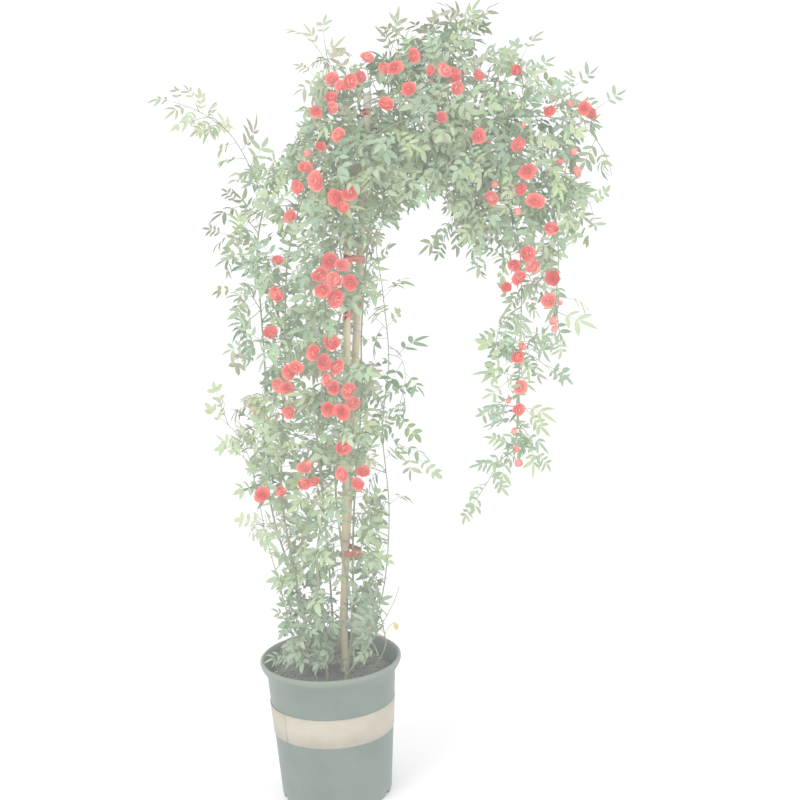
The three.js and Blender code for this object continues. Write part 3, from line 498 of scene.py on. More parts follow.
# %% Label band
BAND_BOTTOM = 114  # in millimetres, as all sizes of the band and the pot
BAND_TOP = 163
BAND_THICK = 0.5
BAND_GAP = 0.3  # between the wall and the band
LAP_GAP = 0.15  # between the band's start and the end that laps over it
LAP_START = math.radians(218)
LAP = math.radians(5)
BAND_STEPS = 98
WALL_FOOT = 90  # the straight wall's radius at the floor
WALL_TOP = 208  # height at which it meets the rim
WALL_FLARE = 14.4  # how much wider it is there


def pot_radius(z):
    return WALL_FOOT + WALL_FLARE * z / WALL_TOP


band = bmesh.new()
low = pot_radius(BAND_BOTTOM) + BAND_GAP
high = pot_radius(BAND_TOP) + BAND_GAP
strip = [(low, BAND_BOTTOM), (low + BAND_THICK, BAND_BOTTOM), (high + BAND_THICK, BAND_TOP), (high, BAND_TOP)]
corners = [band.verts.new((r * MM, 0, z * MM)) for r, z in strip]
end = band.faces.new(corners)
spin_round(band, [end, *end.edges, *corners], 2 * math.pi + LAP, BAND_STEPS, False)
band_step = (2 * math.pi + LAP) / BAND_STEPS
for k, v in enumerate(band.verts):
    turn = (k // len(strip)) * band_step
    out = Vector((v.co.x, v.co.y, 0)).normalized()
    v.co += out * (BAND_THICK + LAP_GAP) * MM * ease((turn - math.pi) / math.pi)
bmesh.ops.rotate(band, verts=band.verts, cent=(0, 0, 0), matrix=Matrix.Rotation(LAP_START, 3, "Z"))
bmesh.ops.recalc_face_normals(band, faces=band.faces)

WORN_EDGE = (0.0235, 0.0262)  # distances from the band's middle, in metres, over which its print wears off
label_print, tree, shader = new_material("label_print", Roughness=0.55, Specular_IOR_Level=0.35)
here = object_place(tree)
tone, fine = drift(tree, here, colour(168, 160, 138), colour(156, 147, 127), 26, 500, 0.35)
above_middle = calculate(tree, "SUBTRACT", height_of(tree, here), (BAND_BOTTOM + BAND_TOP) / 2 * MM)
uneven = scaled(tree, soft_noise(tree, here, 60.0), 0.003)
from_middle = calculate(tree, "ADD", calculate(tree, "ABSOLUTE", above_middle), uneven)
tone = mix_colour(tree, rescale(tree, from_middle, *WORN_EDGE, 0.0, 0.5), tone, colour(122, 120, 102))
tree.links.new(tone, shader.inputs["Base Color"])
bump(tree, shader, fine, 0.15, 0.0004)
finish_piece("label_strip", band, [label_print], ["label_band"])
print("band:", made["label_strip"], "triangles")

# %% [markdown]
# ## The potting mix
#
# The mix is dark bark and peat with a few pale grains of perlite. Its body is spun like the pot, and its top
# is pushed up and down by a noise so that it looks poured. Each place on it carries a value, which is darker or
# lighter bark, up to 1 for perlite.

# %% Potting mix
SOIL_TOP = 208  # in millimetres, as all sizes of the mix
SOIL_BODY = [(0, 4), (86, 5), (98.8, SOIL_TOP - 6)]
SOIL_RINGS = [0, 10, 20, 30, 40, 50, 60, 70, 80, 88, 94, 98.6]
SOIL_STEPS = 72
DOME = 3
BROAD_LUMPS = 3.2
SMALL_LUMPS = 1.6

soil = bmesh.new()
spun(soil, SOIL_BODY + [(r, SOIL_TOP) for r in reversed(SOIL_RINGS)], SOIL_STEPS)


def soil_height(x, y):
    """Height of the top of the mix at a place, in metres."""
    dome = DOME * MM * (1 - (x * x + y * y) / 0.1**2)
    broad = noise.noise(Vector((x * 45, y * 45, 0.3))) * BROAD_LUMPS
    small = noise.noise(Vector((x * 140, y * 140, 5))) * SMALL_LUMPS
    return (SOIL_TOP - 2) * MM + dome + (broad + small) * MM


for v in soil.verts:
    if v.co.z > (SOIL_TOP - 1) * MM:
        v.co.z = soil_height(v.co.x, v.co.y)
crumb_tone = soil.verts.layers.float.new("tone")
for v in soil.verts:
    v[crumb_tone] = between(0.1, 0.35, int(v.co.x * 9000), int(v.co.y * 9000))
print("body of the mix:", len(soil.faces), "faces")

# %% [markdown]
# ## Chips of bark
#
# What makes potting mix look real is its crumbs, so some hundreds of chips with twenty faces each are pressed
# into the top, each squashed and turned in its own way. Relief in the material alone would stay flat where the
# mix is seen along its top. The square root spreads them evenly: without it they would crowd at the middle.
# They are dented by `noise_vector`, which goes by the clock unless its seed is set.

# %% Chips
CHIPS = 900
CHIPS_REACH = 97
PALE_ABOVE = 0.93  # one chip in fourteen is a grain of perlite
BARK_SIZE = (1.2, 4.6)
PERLITE_SIZE = (1.2, 2.2)

noise.seed_set(1)
for k in range(CHIPS):
    far = CHIPS_REACH * MM * math.sqrt(draw(k, 1))
    angle = 2 * math.pi * draw(k, 2)
    x, y = far * math.cos(angle), far * math.sin(angle)
    pale = draw(k, 3) > PALE_ABOVE
    long = between(*(PERLITE_SIZE if pale else BARK_SIZE), k, 4)
    wide = long * between(0.4, 0.9, k, 5)
    high = long * between(0.25, 0.7, k, 6)
    shape = Matrix.Diagonal((long * MM, wide * MM, high * MM, 1))
    turn = Matrix.Rotation(6.28 * draw(k, 7), 4, "Z") @ Matrix.Rotation(between(-0.7, 0.7, k, 8), 4, "X")
    place = Matrix.Translation((x, y, soil_height(x, y) + 0.3 * long * MM))
    chip = bmesh.ops.create_icosphere(soil, subdivisions=1, radius=1, matrix=place @ turn @ shape)["verts"]
    for v in chip:
        v.co += 0.25 * long * MM * noise.noise_vector(v.co * 900)
        v[crumb_tone] = 1.0 if pale else between(0.0, 0.6, k, 9)
print("chips:", CHIPS, "of", len(chip), "corners each")

# %% [markdown]
# ## The mix's finish
#
# Moist bark and peat are a dull dark grey. The value that each crumb carries makes it a little warmer and
# lighter, and near 1 it is white perlite. One material serves both, so the mix stays one piece.

# %% Mix finish
potting_mix, tree, shader = new_material("potting_mix", Roughness=0.95, Specular_IOR_Level=0.2)
here = object_place(tree)
tone, fine = drift(tree, here, colour(92, 98, 92), colour(52, 58, 55), 60, 700, 0.6)
crumb = mark(tree, "tone")
tone = mix_colour(tree, scaled(tree, crumb, 0.6), tone, colour(112, 106, 90))
tone = mix_colour(tree, rescale(tree, crumb, 0.8, 0.95), tone, colour(214, 212, 204))
tree.links.new(tone, shader.inputs["Base Color"])
bump(tree, shader, fine, 0.8, 0.0015)
finish_piece("potting_mix_top", soil, [potting_mix], ["potting_mix"], smooth=False)
print("mix:", made["potting_mix_top"], "triangles")

# %% [markdown]
# ## The bamboo stakes
#
# Two bamboo culms stand close together in the middle of the pot. Bamboo is a row of hollow lengths with a
# ridge at each joint. Its outline is spun upright, then leaned from its foot to its tip with one matrix. The
# joints are marked in the mesh with a value, so that the material can darken them without knowing where they
# are. The fibres are a noise that is stretched along the culm.

# %% Bamboo
STAKES = {
    "tall_stake": ((-4, 34, 12), (101, -4, 1126), 6.0),
    "short_stake": ((10, -8, 12), (66, -20, 1000), 5.6),
}
INTERNODE = 210  # from one joint to the next, in millimetres
JOINT_RIDGE = [  # [height from the joint, how far it stands out, how much of a joint it is]
    (-8, 0, 0.1), (-4, 0.25, 0.6), (-2.2, 0.95, 1), (-0.8, 0.55, 1), (0.6, 1.05, 0.8), (2.4, 0.3, 0.5),
    (6, 0, 0.15),
]
NEAR_JOINT = 14
CULM_STEP = 24
UNEVEN = 0.035  # how much slimmer a culm gets between its wider places
CULM_STEPS_ROUND = 24


def culm_outline(length, radius):
    """Half of a culm's outline, as [radius, height, how much of a joint it is]."""
    outline = [(0, 0, 0), (radius * 0.97, 0, 0)]
    joints = range(INTERNODE, int(length) - 40, INTERNODE)
    at = CULM_STEP / 2
    while at < length - 6:
        near = [joint for joint in joints if abs(at - joint) < NEAR_JOINT]
        if near:
            outline += [(radius + out, near[0] + dz, share) for dz, out, share in JOINT_RIDGE]
            at = near[0]
        else:
            outline.append((radius * (1 - UNEVEN * math.sin(at * 0.05)), at, 0))
        at += CULM_STEP
    cut_end = [(0.95, -1, 0), (0.86, 0, 0.3), (0.6, -1.5, 0.9), (0, -3, 1)]
    return outline + [(radius * part, length + dz, share) for part, dz, share in cut_end]


def stake_at(name, z):
    """The middle of a stake at a height, in metres."""
    foot, tip = (metres(end) for end in STAKES[name][:2])
    return foot.lerp(tip, (z - foot.z) / (tip.z - foot.z))


PAINTED_TIP_LIGHT = (1.04, 1.09)  # heights in metres over which the tall stake's tip is painted pale, painted light where leaves shade it

bamboo, tree, shader = new_material("bamboo", Roughness=0.42, Specular_IOR_Level=0.45)
here = object_place(tree)
long_way = add_node(tree, "ShaderNodeMapping", Vector=here, Scale=(1, 1, 0.035)).outputs["Vector"]
fibres = soft_noise(tree, long_way, 1500.0, 3.0)
tone, fine = drift(tree, here, colour(216, 200, 156), colour(192, 176, 134), 12, 160, 0.3)
tone = mix_colour(tree, rescale(tree, fibres, 0.42, 0.62, 0.0, 0.5), tone, colour(164, 134, 98))
aged = rescale(tree, soft_noise(tree, here, 17.0), 0.5, 0.72, 0.0, 0.45)
tone = mix_colour(tree, aged, tone, colour(148, 140, 104))
# painted light: the tall stake's tip is painted pale cream, so that it looks lit in the shade of the leaves
painted_tip_light = rescale(tree, height_of(tree, here), *PAINTED_TIP_LIGHT, 0.0, 0.95)
tone = mix_colour(tree, painted_tip_light, tone, colour(255, 250, 226))
tone = mix_colour(tree, scaled(tree, mark(tree, "joint"), 0.7), tone, colour(116, 92, 64))
tree.links.new(tone, shader.inputs["Base Color"])
bump(tree, shader, fibres, 0.3, 0.0005)

for name, (foot, tip, radius) in STAKES.items():
    foot, tip = Vector(foot), Vector(tip)
    culm = bmesh.new()
    outline = culm_outline((tip - foot).length, radius)
    spun(culm, [(r, z) for r, z, _ in outline], CULM_STEPS_ROUND)
    joint_mark = culm.verts.layers.float.new("joint")
    marks = {round(z, 2): share for _, z, share in outline}
    for v in culm.verts:
        v[joint_mark] = marks.get(round(v.co.z / MM, 2), 0)
        v.co += Vector((v.co.x, v.co.y, 0)) * 0.06 * noise.noise(v.co * 14)
    lean = (tip - foot).to_track_quat("Z", "Y").to_matrix().to_4x4()
    bmesh.ops.transform(culm, matrix=Matrix.Translation(foot * MM) @ lean, verts=culm.verts)
    finish_piece(name + "_culm", culm, [bamboo], [name])
print("bamboo:", made["tall_stake_culm"] + made["short_stake_culm"], "triangles")

# %% [markdown]
# ## Lines that stems follow
#
# Each stem is a short list of places that it grows through, in millimetres. `smooth_line` turns one into a
# smooth curve with places at even steps. The formula is the Catmull-Rom curve: between two places it takes its
# direction from the places before and after them, so it passes through every one of them. A bevelled curve
# object could follow it too, but a tube of one's own can thin towards its tip and carry its age.

# %% Smooth lines
FINE_STEPS = 12  # places worked out between two given ones


def smooth_line(points, step):
    """Places at about `step` metres along the smooth curve through some points."""
    points = [Vector(p) for p in points]
    ends = [2 * points[0] - points[1], *points, 2 * points[-1] - points[-2]]
    fine = []
    for a, b, c, d in zip(ends, ends[1:], ends[2:], ends[3:]):
        for k in range(FINE_STEPS):
            t = k / FINE_STEPS
            bend = (2 * a - 5 * b + 4 * c - d) * t * t + (3 * b - a - 3 * c + d) * t**3
            fine.append(0.5 * (2 * b + (c - a) * t + bend))
    fine.append(points[-1])
    lengths = [0.0]
    for a, b in zip(fine, fine[1:]):
        lengths.append(lengths[-1] + (b - a).length)
    count = max(2, round(lengths[-1] / step))
    even = []
    i = 0
    for k in range(count + 1):
        far = lengths[-1] * k / count
        while i < len(fine) - 2 and lengths[i + 1] < far:
            i += 1
        share = (far - lengths[i]) / max(1e-9, lengths[i + 1] - lengths[i])
        even.append(fine[i].lerp(fine[i + 1], min(1.0, share)))
    return even


BOW = [(0, 0, 0), (0.05, 0, 0.05), (0.1, 0, 0)]
print("a curve through 3 places has", len(smooth_line(BOW, 0.01)), "steps")

# %% [markdown]
# ## What a stem knows
#
# Leaves, shoots and blooms all ask the same of a stem: where it is at some share of its length, which way it
# goes there, and which of its places is nearest to another. A small class keeps the line and its answers
# together, and is simpler than asking a mesh.

# %% Stems


class Stem:
    """A line that things grow from, with its radius at its foot and at its tip."""

    def __init__(self, points, thick, thin, step, cut=0.0):
        self.points = smooth_line(points, step)
        if cut:
            left = 1 - min(0.7, cut / self.length())
            self.points = self.points[: max(3, round(len(self.points) * left))]
        self.thick = thick
        self.thin = thin

    def length(self):
        return sum((b - a).length for a, b in zip(self.points, self.points[1:]))

    def radii(self):
        last = len(self.points) - 1
        return [self.thick + (self.thin - self.thick) * i / last for i in range(last + 1)]

    def at(self, share):
        """The place and the direction at a share of the way along."""
        x = min(0.9999, max(0.0, share)) * (len(self.points) - 1)
        i = int(x)
        a, b = self.points[i], self.points[i + 1]
        return a.lerp(b, x - i), (b - a).normalized()

    def nearest(self, place):
        """The place on the line nearest to another, and how far that is."""
        best = min(self.points, key=lambda p: (p - place).length_squared)
        return best, (best - place).length


def tube(bm, points, radii, sides, material=0):
    """A closed tube along a line: a ring of edges is extruded from place to place. Gives its vertices."""
    turn = (points[1] - points[0]).to_track_quat("Z", "Y").to_matrix().to_4x4()
    here = Matrix.Translation(points[0]) @ turn @ Matrix.Scale(radii[0], 4)
    ring = bmesh.ops.create_circle(bm, cap_ends=False, segments=sides, radius=1, matrix=here)["verts"]
    edges = list({edge for v in ring for edge in v.link_edges})
    first = edges
    grown = list(ring)
    last = len(points) - 1
    for i in range(1, last + 1):
        onward = points[min(last, i + 1)] - points[i - 1]
        swing = turn.to_quaternion().inverted() @ onward.normalized()
        turn = turn @ UP.rotation_difference(swing).to_matrix().to_4x4()
        there = Matrix.Translation(points[i]) @ turn @ Matrix.Scale(radii[i], 4)
        step = bmesh.ops.extrude_edge_only(bm, edges=edges)["geom"]
        ring = [g for g in step if isinstance(g, bmesh.types.BMVert)]
        edges = [g for g in step if isinstance(g, bmesh.types.BMEdge)]
        bmesh.ops.transform(bm, matrix=there @ here.inverted(), verts=ring)
        grown += ring
        here = there
    for ring_edges in (first, edges):
        bmesh.ops.edgeloop_fill(bm, edges=ring_edges)
    faces = list({face for v in grown for face in v.link_faces})
    bmesh.ops.recalc_face_normals(bm, faces=faces)
    for face in faces:
        face.material_index = material
    return grown


print("the middle of a bowed stem:", Stem(BOW, 0.002, 0.001, 0.01).at(0.5)[0])

# %% [markdown]
# ## The red tape ties
#
# Strips of soft red plastic tape hold the stakes and a cane together. A tie is a stretched loop, and the
# shape of a stretched loop is the convex hull of what it holds. So a short drum is made round each stake, the
# hull of the drums is taken, its flat ends are removed and the wall that stays is given the tape's thickness.
# Each tie is wound three times: a turn lies over the last, is a little narrower and has another slant.

# %% Turns of tape
TIES = {  # height in millimetres, slope, and what the tie goes round
    "low_tie": (409, 0.1, ("tall_stake", "short_stake")),
    "middle_tie": (799, 0.75, ("tall_stake", "short_stake")),
    "upper_tie": (878, -0.15, ("tall_stake", "short_stake")),
    "top_tie": (1098, 0.05, ("tall_stake",)),
}
TIED_CANE = (54.5, -18.8, 409, 3.6)  # place and radius of a cane that the low tie goes round too
TURNS = 3
TAPE_WIDE = 9
TAPE_NARROWER = 1.6  # from one turn to the next
TAPE_THICK = 0.3
TURN_GAP = 0.55  # between what is held and the first turn
TURN_BUILD = 0.35  # from one turn to the next
TURN_ASKEW = 0.16
CRINKLE = 0.5


def held_by(name):
    """The middle and the radius of each thing that a tie goes round."""
    z, _, stakes = TIES[name]
    held = [(stake_at(stake, z * MM), STAKES[stake][2]) for stake in stakes]
    if name == "low_tie":
        held.append((metres(TIED_CANE[:3]), TIED_CANE[3]))
    return held


def tape_turn(tie, held, z, turn):
    """The wall of one turn of tape. Gives its vertices."""
    drums = []
    for centre, radius in held:
        reach = (radius + TURN_GAP + TURN_BUILD * turn) * MM
        drums += bmesh.ops.create_cone(
            tie, cap_ends=True, segments=20, radius1=reach, radius2=reach,
            depth=(TAPE_WIDE - TAPE_NARROWER * turn) * MM,
            matrix=Matrix.Translation((centre.x, centre.y, z * MM)),
        )["verts"]
    hull = bmesh.ops.convex_hull(tie, input=drums)
    inner = {g for g in hull["geom_interior"] + hull["geom_unused"] if isinstance(g, bmesh.types.BMVert)}
    bmesh.ops.delete(tie, geom=list(inner), context="VERTS")
    wall = [v for v in drums if v.is_valid]
    faces = {face for v in wall for face in v.link_faces}
    flat_ends = [face for face in faces if abs(face.normal.z) > 0.5]
    bmesh.ops.delete(tie, geom=flat_ends, context="FACES_ONLY")
    return wall


print("things held by the low tie:", len(held_by("low_tie")))

# %% [markdown]
# ## Knots
#
# Each tie ends in a knot at its front, with two loose ends that stick out and hang down. At this size a knot
# is a squashed ball, and an end is a short tube that is pressed flat: simpler than a strip that twists.

# %% Knots
KNOT = (4.4, 2.2, 3.6)  # half its width, depth and height
KNOT_AT = (1.5, -1.0, 0)  # from the tie's front
LOOSE_END = [(1, 0, 0), (4, 1.6, 1), (6, 1.6, -3), (6.5, 0.8, -8)]  # aside, forwards and up from the knot
END_RADIUS = 1.5
END_STEP = 2.5
END_FLAT = 0.25  # how much of its depth is left


def add_knot(tie, front, slope):
    shape = Matrix.Rotation(math.atan(slope), 4, "Y") @ Matrix.Diagonal((*(size * MM for size in KNOT), 1))
    place = Matrix.Translation(front + metres(KNOT_AT))
    bmesh.ops.create_icosphere(tie, subdivisions=2, radius=1, matrix=place @ shape)
    for side in (-1, 1):
        path = [front + metres((side * aside, -1.6 - forwards, up)) for aside, forwards, up in LOOSE_END]
        line = smooth_line(path, END_STEP * MM)
        for v in tube(tie, line, [END_RADIUS * MM] * len(line), 8):
            nearest = min(path, key=lambda p: (p - v.co).length_squared)
            v.co.y = nearest.y + END_FLAT * (v.co.y - nearest.y)


print("a loose end reaches", max(aside for aside, _, _ in LOOSE_END), "mm aside")

# %% [markdown]
# ## The ties' finish
#
# The tape is a soft, slightly shiny plastic, and its red is a little uneven where it is stretched.

# %% Ties
tie_tape, tree, shader = new_material("tie_tape", Roughness=0.35, Specular_IOR_Level=0.5)
tone, fine = drift(tree, object_place(tree), colour(238, 96, 76), colour(216, 70, 56), 130, 500, 0.3)
tree.links.new(tone, shader.inputs["Base Color"])
bump(tree, shader, fine, 0.4, 0.0006)

for name, (z, slope, stakes) in TIES.items():
    tie = bmesh.new()
    middle = sum((stake_at(stake, z * MM) for stake in stakes), Vector()) / len(stakes)
    for turn in range(TURNS):
        askew = slope + (turn - 1) * TURN_ASKEW
        for v in tape_turn(tie, held_by(name), z, turn):
            crinkle = CRINKLE * MM * noise.noise(v.co * 260 + Vector((turn, 0, 0)))
            v.co.z += askew * (v.co.x - middle.x) + crinkle
    wall = list(tie.faces)
    bmesh.ops.recalc_face_normals(tie, faces=wall)
    bmesh.ops.solidify(tie, geom=wall, thickness=-TAPE_THICK * MM)
    front = min(tie.verts, key=lambda v: v.co.y).co.copy()
    front.z = z * MM + slope * (front.x - middle.x)
    add_knot(tie, front, slope)
    bmesh.ops.recalc_face_normals(tie, faces=tie.faces)
    finish_piece(name + "_tape", tie, [tie_tape], [name])
print("ties:", sum(made[name + "_tape"] for name in TIES), "triangles")

# %% [markdown]
# ## Where the canes grow
#
# Eleven canes rise from the soil. Each has its thickness at the foot and at the tip, the places that it grows
# through, and its twigs, which start at the nearest place on it. Such a route could be grown by rules, but a
# trained rose is bent by hand, so its lines are given one by one. The solids leave out the shortest twigs, so
# `MORE_TWIGS` adds them, and real canes are slimmer than solid ones, so `SLIM` narrows them.

# %% Canes and twigs, in millimetres
CANES = {
    "left_cane": ((3.6, 1.7), [
        (-25, -15, 208), (-35, -35, 305), (-50, -45, 410), (-60, -50, 510), (-55, -45, 605),
        (-45, -50, 700), (-40, -45, 790), (-30, -50, 885), (-5, -50, 970), (35, -55, 1045), (90, -50, 1105),
        (165, -45, 1130), (230, -40, 1135), (285, -30, 1135), (335, -30, 1125), (390, -25, 1105),
    ], [
        [(50, -50, 1100), (30, -55, 1120), (5, -50, 1130)],
        [(-45, -50, 760), (-75, -55, 765), (-110, -55, 755), (-135, -50, 740)],
        [(-50, -45, 660), (-80, -60, 675), (-120, -60, 660)],
        [(65, -50, 1100), (60, -50, 1140), (45, -45, 1175), (40, -40, 1210), (30, -35, 1250)],
        [(230, -40, 1135), (240, -50, 1165), (265, -50, 1195)],
        [(335, -30, 1125), (330, -35, 1160), (345, -35, 1190), (360, -30, 1210)],
    ]),
    "front_cane": ((3.8, 1.6), [
        (-5, -45, 208), (-5, -60, 315), (-10, -65, 415), (5, -60, 510), (0, -65, 605), (15, -60, 700),
        (25, -65, 790), (20, -60, 880), (40, -65, 965), (80, -70, 1035), (145, -75, 1080), (220, -70, 1090),
        (290, -60, 1075), (340, -50, 1030), (370, -45, 955), (380, -40, 880), (375, -35, 805),
        (370, -30, 750),
    ], [
        [(360, -45, 995), (400, -50, 970), (430, -45, 945), (425, -35, 900)],
        [(375, -35, 805), (400, -30, 805), (415, -25, 800)],
        [(370, -30, 750), (385, -25, 725), (395, -20, 705)],
    ]),
    "tail_cane": ((3.8, 1.4), [
        (25, -50, 208), (40, -50, 310), (30, -50, 425), (25, -50, 540), (45, -50, 650), (35, -50, 750),
        (55, -50, 835), (50, -50, 910), (75, -50, 985), (115, -30, 1040), (175, -20, 1065),
        (245, -15, 1045), (295, -15, 990), (320, -15, 910), (325, -10, 820), (320, -10, 725),
        (315, -10, 630), (305, -5, 540), (285, 0, 500),
    ], [
        [(320, -10, 725), (345, 0, 710), (370, 10, 685), (380, 10, 650)],
        [(315, -10, 635), (290, 5, 635), (270, 10, 620), (250, 10, 595)],
        [(310, -5, 565), (285, 5, 545), (265, 10, 510), (240, 10, 475), (220, 5, 445)],
        [(320, -10, 790), (300, 0, 775), (285, 5, 740), (275, 5, 685)],
    ]),
    "stake_cane": ((3.4, 1.5), [
        (35, -10, 208), (40, -15, 265), (45, -20, 410), (55, -20, 530), (70, -15, 655), (75, -10, 765),
        (90, -10, 890), (110, 0, 980), (155, 10, 1040), (225, 20, 1070), (300, 25, 1080), (375, 25, 1080),
        (440, 20, 1055), (480, 15, 1025),
    ], [
        [(300, 25, 1080), (315, 20, 1120), (310, 15, 1155), (310, 10, 1180)],
        [(375, 25, 1080), (395, 15, 1110), (425, 5, 1130), (455, 0, 1145)],
        [(440, 20, 1055), (445, 10, 1085), (470, 5, 1100), (500, 0, 1105)],
        [(440, 20, 1055), (460, 10, 1020), (470, 5, 980), (460, 0, 950)],
    ]),
    "back_left_cane": ((3.4, 1.5), [
        (-30, 30, 208), (-55, 55, 330), (-85, 60, 450), (-95, 55, 570), (-85, 55, 685), (-85, 50, 795),
        (-85, 50, 895), (-65, 45, 970), (-25, 50, 1030), (45, 60, 1075), (135, 60, 1120), (215, 45, 1170),
        (255, 25, 1205), (270, 15, 1245),
    ], [
        [(-75, 45, 965), (-95, 35, 1040), (-120, 30, 1080), (-160, 25, 1110), (-195, 20, 1125),
         (-230, 15, 1145)],
        [(-120, 30, 1080), (-140, 20, 1100), (-170, 10, 1095), (-210, 5, 1085)],
        [(-160, 25, 1110), (-170, 20, 1140), (-180, 15, 1165)],
        [(-85, 50, 895), (-110, 40, 910), (-145, 30, 925), (-180, 20, 920)],
        [(-85, 50, 795), (-105, 40, 830), (-135, 35, 830), (-155, 30, 810)],
        [(-85, 50, 795), (-110, 30, 775), (-120, 20, 740), (-110, 15, 705)],
        [(215, 45, 1170), (200, 30, 1205), (200, 15, 1240)],
        [(255, 25, 1205), (285, 10, 1220), (295, 5, 1240)],
        [(135, 60, 1120), (135, 30, 1175), (145, 10, 1210), (135, 0, 1240)],
        [(-75, 45, 945), (-105, 30, 965), (-130, 20, 1010)],
    ]),
    "back_cane": ((3.4, 1.5), [
        (5, 45, 208), (0, 80, 370), (-5, 90, 520), (10, 85, 675), (5, 90, 805), (35, 85, 915),
        (85, 85, 1000), (180, 80, 1035), (275, 75, 1025), (355, 60, 990), (425, 45, 940), (470, 35, 955),
    ], [
        [(420, 45, 945), (425, 35, 910), (415, 25, 875)],
        [(275, 75, 1025), (255, 70, 965), (230, 60, 925), (190, 50, 915)],
    ]),
    "right_cane": ((3.2, 1.4), [
        (50, 30, 208), (90, 50, 325), (105, 50, 460), (100, 45, 595), (115, 50, 710), (110, 50, 820),
        (105, 60, 900), (145, 60, 965), (205, 50, 980), (250, 40, 940), (260, 30, 880), (255, 25, 820),
    ], [
        [(110, 50, 805), (130, 40, 830), (145, 30, 845)], [(115, 50, 755), (100, 20, 775), (100, 5, 740)],
        [(115, 50, 715), (135, 40, 710), (140, 35, 680), (130, 30, 640), (115, 25, 600), (125, 20, 570),
         (150, 15, 565)],
        [(105, 50, 470), (125, 30, 490), (140, 20, 505)],
        [(220, 45, 970), (225, 30, 935), (210, 20, 900), (190, 15, 865)],
    ]),
    "young_left_cane": ((2.4, 1.2), [
        (-50, -20, 208), (-65, -70, 355), (-85, -75, 455), (-95, -70, 525), (-110, -60, 595),
        (-140, -50, 635), (-175, -40, 610),
    ], [
        [(-105, -60, 575), (-130, -65, 595), (-165, -60, 580)],
        [(-140, -50, 635), (-145, -45, 670), (-125, -40, 700)],
    ]),
    "young_right_cane": ((2.2, 1.2), [
        (60, -20, 208), (75, -25, 225), (90, -30, 255), (90, -35, 280), (80, -40, 330), (65, -40, 350),
        (60, -45, 395), (60, -45, 445), (65, -50, 505),
    ], []),
    "low_left_shoot": ((2.2, 1.2), [
        (-20, -55, 208), (-35, -70, 275), (-60, -85, 325), (-80, -90, 360),
    ], []),
    "low_right_shoot": ((2.2, 1.2), [
        (20, -62, 208), (55, -85, 265), (90, -95, 320), (115, -95, 370), (125, -90, 425),
    ], []),
}
STEM_DEPTH = 50  # how far canes go into the mix
STEM_STEP = 10
STEM_CUT = 50  # routes go on to the tip of the last leaf, so a stem stops this far short of its route's end
TWIG_THICK = (1.6, 0.9)
TWIG_STEP = 8
TWIG_CUT = 42
SLIM = 0.56  # the solids' canes are thicker than real ones, by which they are narrowed here
SLIMMER = {"right_cane": 0.4, "young_left_cane": 0.5}  # young canes
MORE_TWIGS = {  # short twigs that the solids leave out, from a place near the cane
    "back_left_cane": [
        [(215, 45, 1170), (195, 25, 1205), (165, 5, 1235)],
        [(255, 25, 1205), (240, 5, 1232), (212, -12, 1248)],
        [(230, 38, 1185), (250, 0, 1215), (262, -30, 1240)],
        [(-85, 50, 895), (-115, 20, 880), (-150, -5, 850)],
        [(160, 58, 1135), (178, 20, 1180), (186, -15, 1222)],
        [(135, 60, 1120), (150, 20, 1180), (140, -20, 1235)],
        [(215, 45, 1170), (240, 30, 1220), (238, 10, 1252)],
        [(180, 52, 1150), (200, -10, 1200), (215, -40, 1238)],
        [(200, 48, 1160), (170, 30, 1200), (118, 10, 1228)],
        [(262, 20, 1215), (280, 30, 1238), (284, 38, 1247)],
        [(240, 30, 1195), (252, -20, 1228), (240, -45, 1244)],
        [(225, 40, 1180), (205, 30, 1225), (188, 25, 1246)],
        [(-90, 55, 645), (-112, 40, 645), (-126, 10, 618)],
        [(-88, 55, 600), (-105, 30, 612), (-112, 0, 636)],
        [(-92, 56, 590), (-108, 50, 618), (-122, 42, 656)],
    ],
    "left_cane": [
        [(285, -30, 1135), (305, -40, 1170), (325, -50, 1192)],
        [(335, -30, 1125), (358, -36, 1150), (392, -40, 1160)],
        [(90, -50, 1105), (75, -60, 1150), (52, -60, 1190)],
        [(165, -45, 1130), (160, -60, 1175), (178, -62, 1210)],
        [(-30, -50, 885), (-70, -60, 880), (-110, -62, 862)],
        [(62, -50, 1095), (38, -45, 1180), (-16, -35, 1241)],
        [(55, -50, 1090), (28, -48, 1150), (-22, -40, 1176)],
        [(300, -30, 1135), (318, -25, 1165), (350, -20, 1185)],
        [(120, -48, 1118), (105, -60, 1160), (112, -66, 1200)],
        [(200, -42, 1134), (212, -60, 1170), (250, -66, 1200)],
    ],
    "tail_cane": [
        [(320, -15, 720), (290, -25, 700), (268, -30, 668)],
        [(315, -10, 640), (335, -25, 620), (342, -30, 585)],
        [(318, -12, 760), (345, -25, 740), (375, -25, 722)],
        [(310, -8, 580), (280, -20, 560), (262, -22, 530)],
        [(312, -10, 600), (330, -22, 575), (345, -25, 545)],
        [(318, -12, 730), (285, -20, 715), (262, -25, 690)],
        [(320, -15, 885), (275, -30, 868), (245, -30, 840)],
        [(318, -12, 690), (290, -22, 672), (255, -28, 655)],
        [(312, -10, 600), (332, -12, 574), (350, -12, 552), (362, -12, 520)],
    ],
    "right_cane": [[(148, 16, 566), (160, 8, 548), (166, 2, 512)]],
    "front_cane": [
        [(370, -45, 955), (335, -20, 925), (296, -15, 888)],
        [(380, -40, 880), (345, -20, 868), (306, -18, 842)],
    ],
}

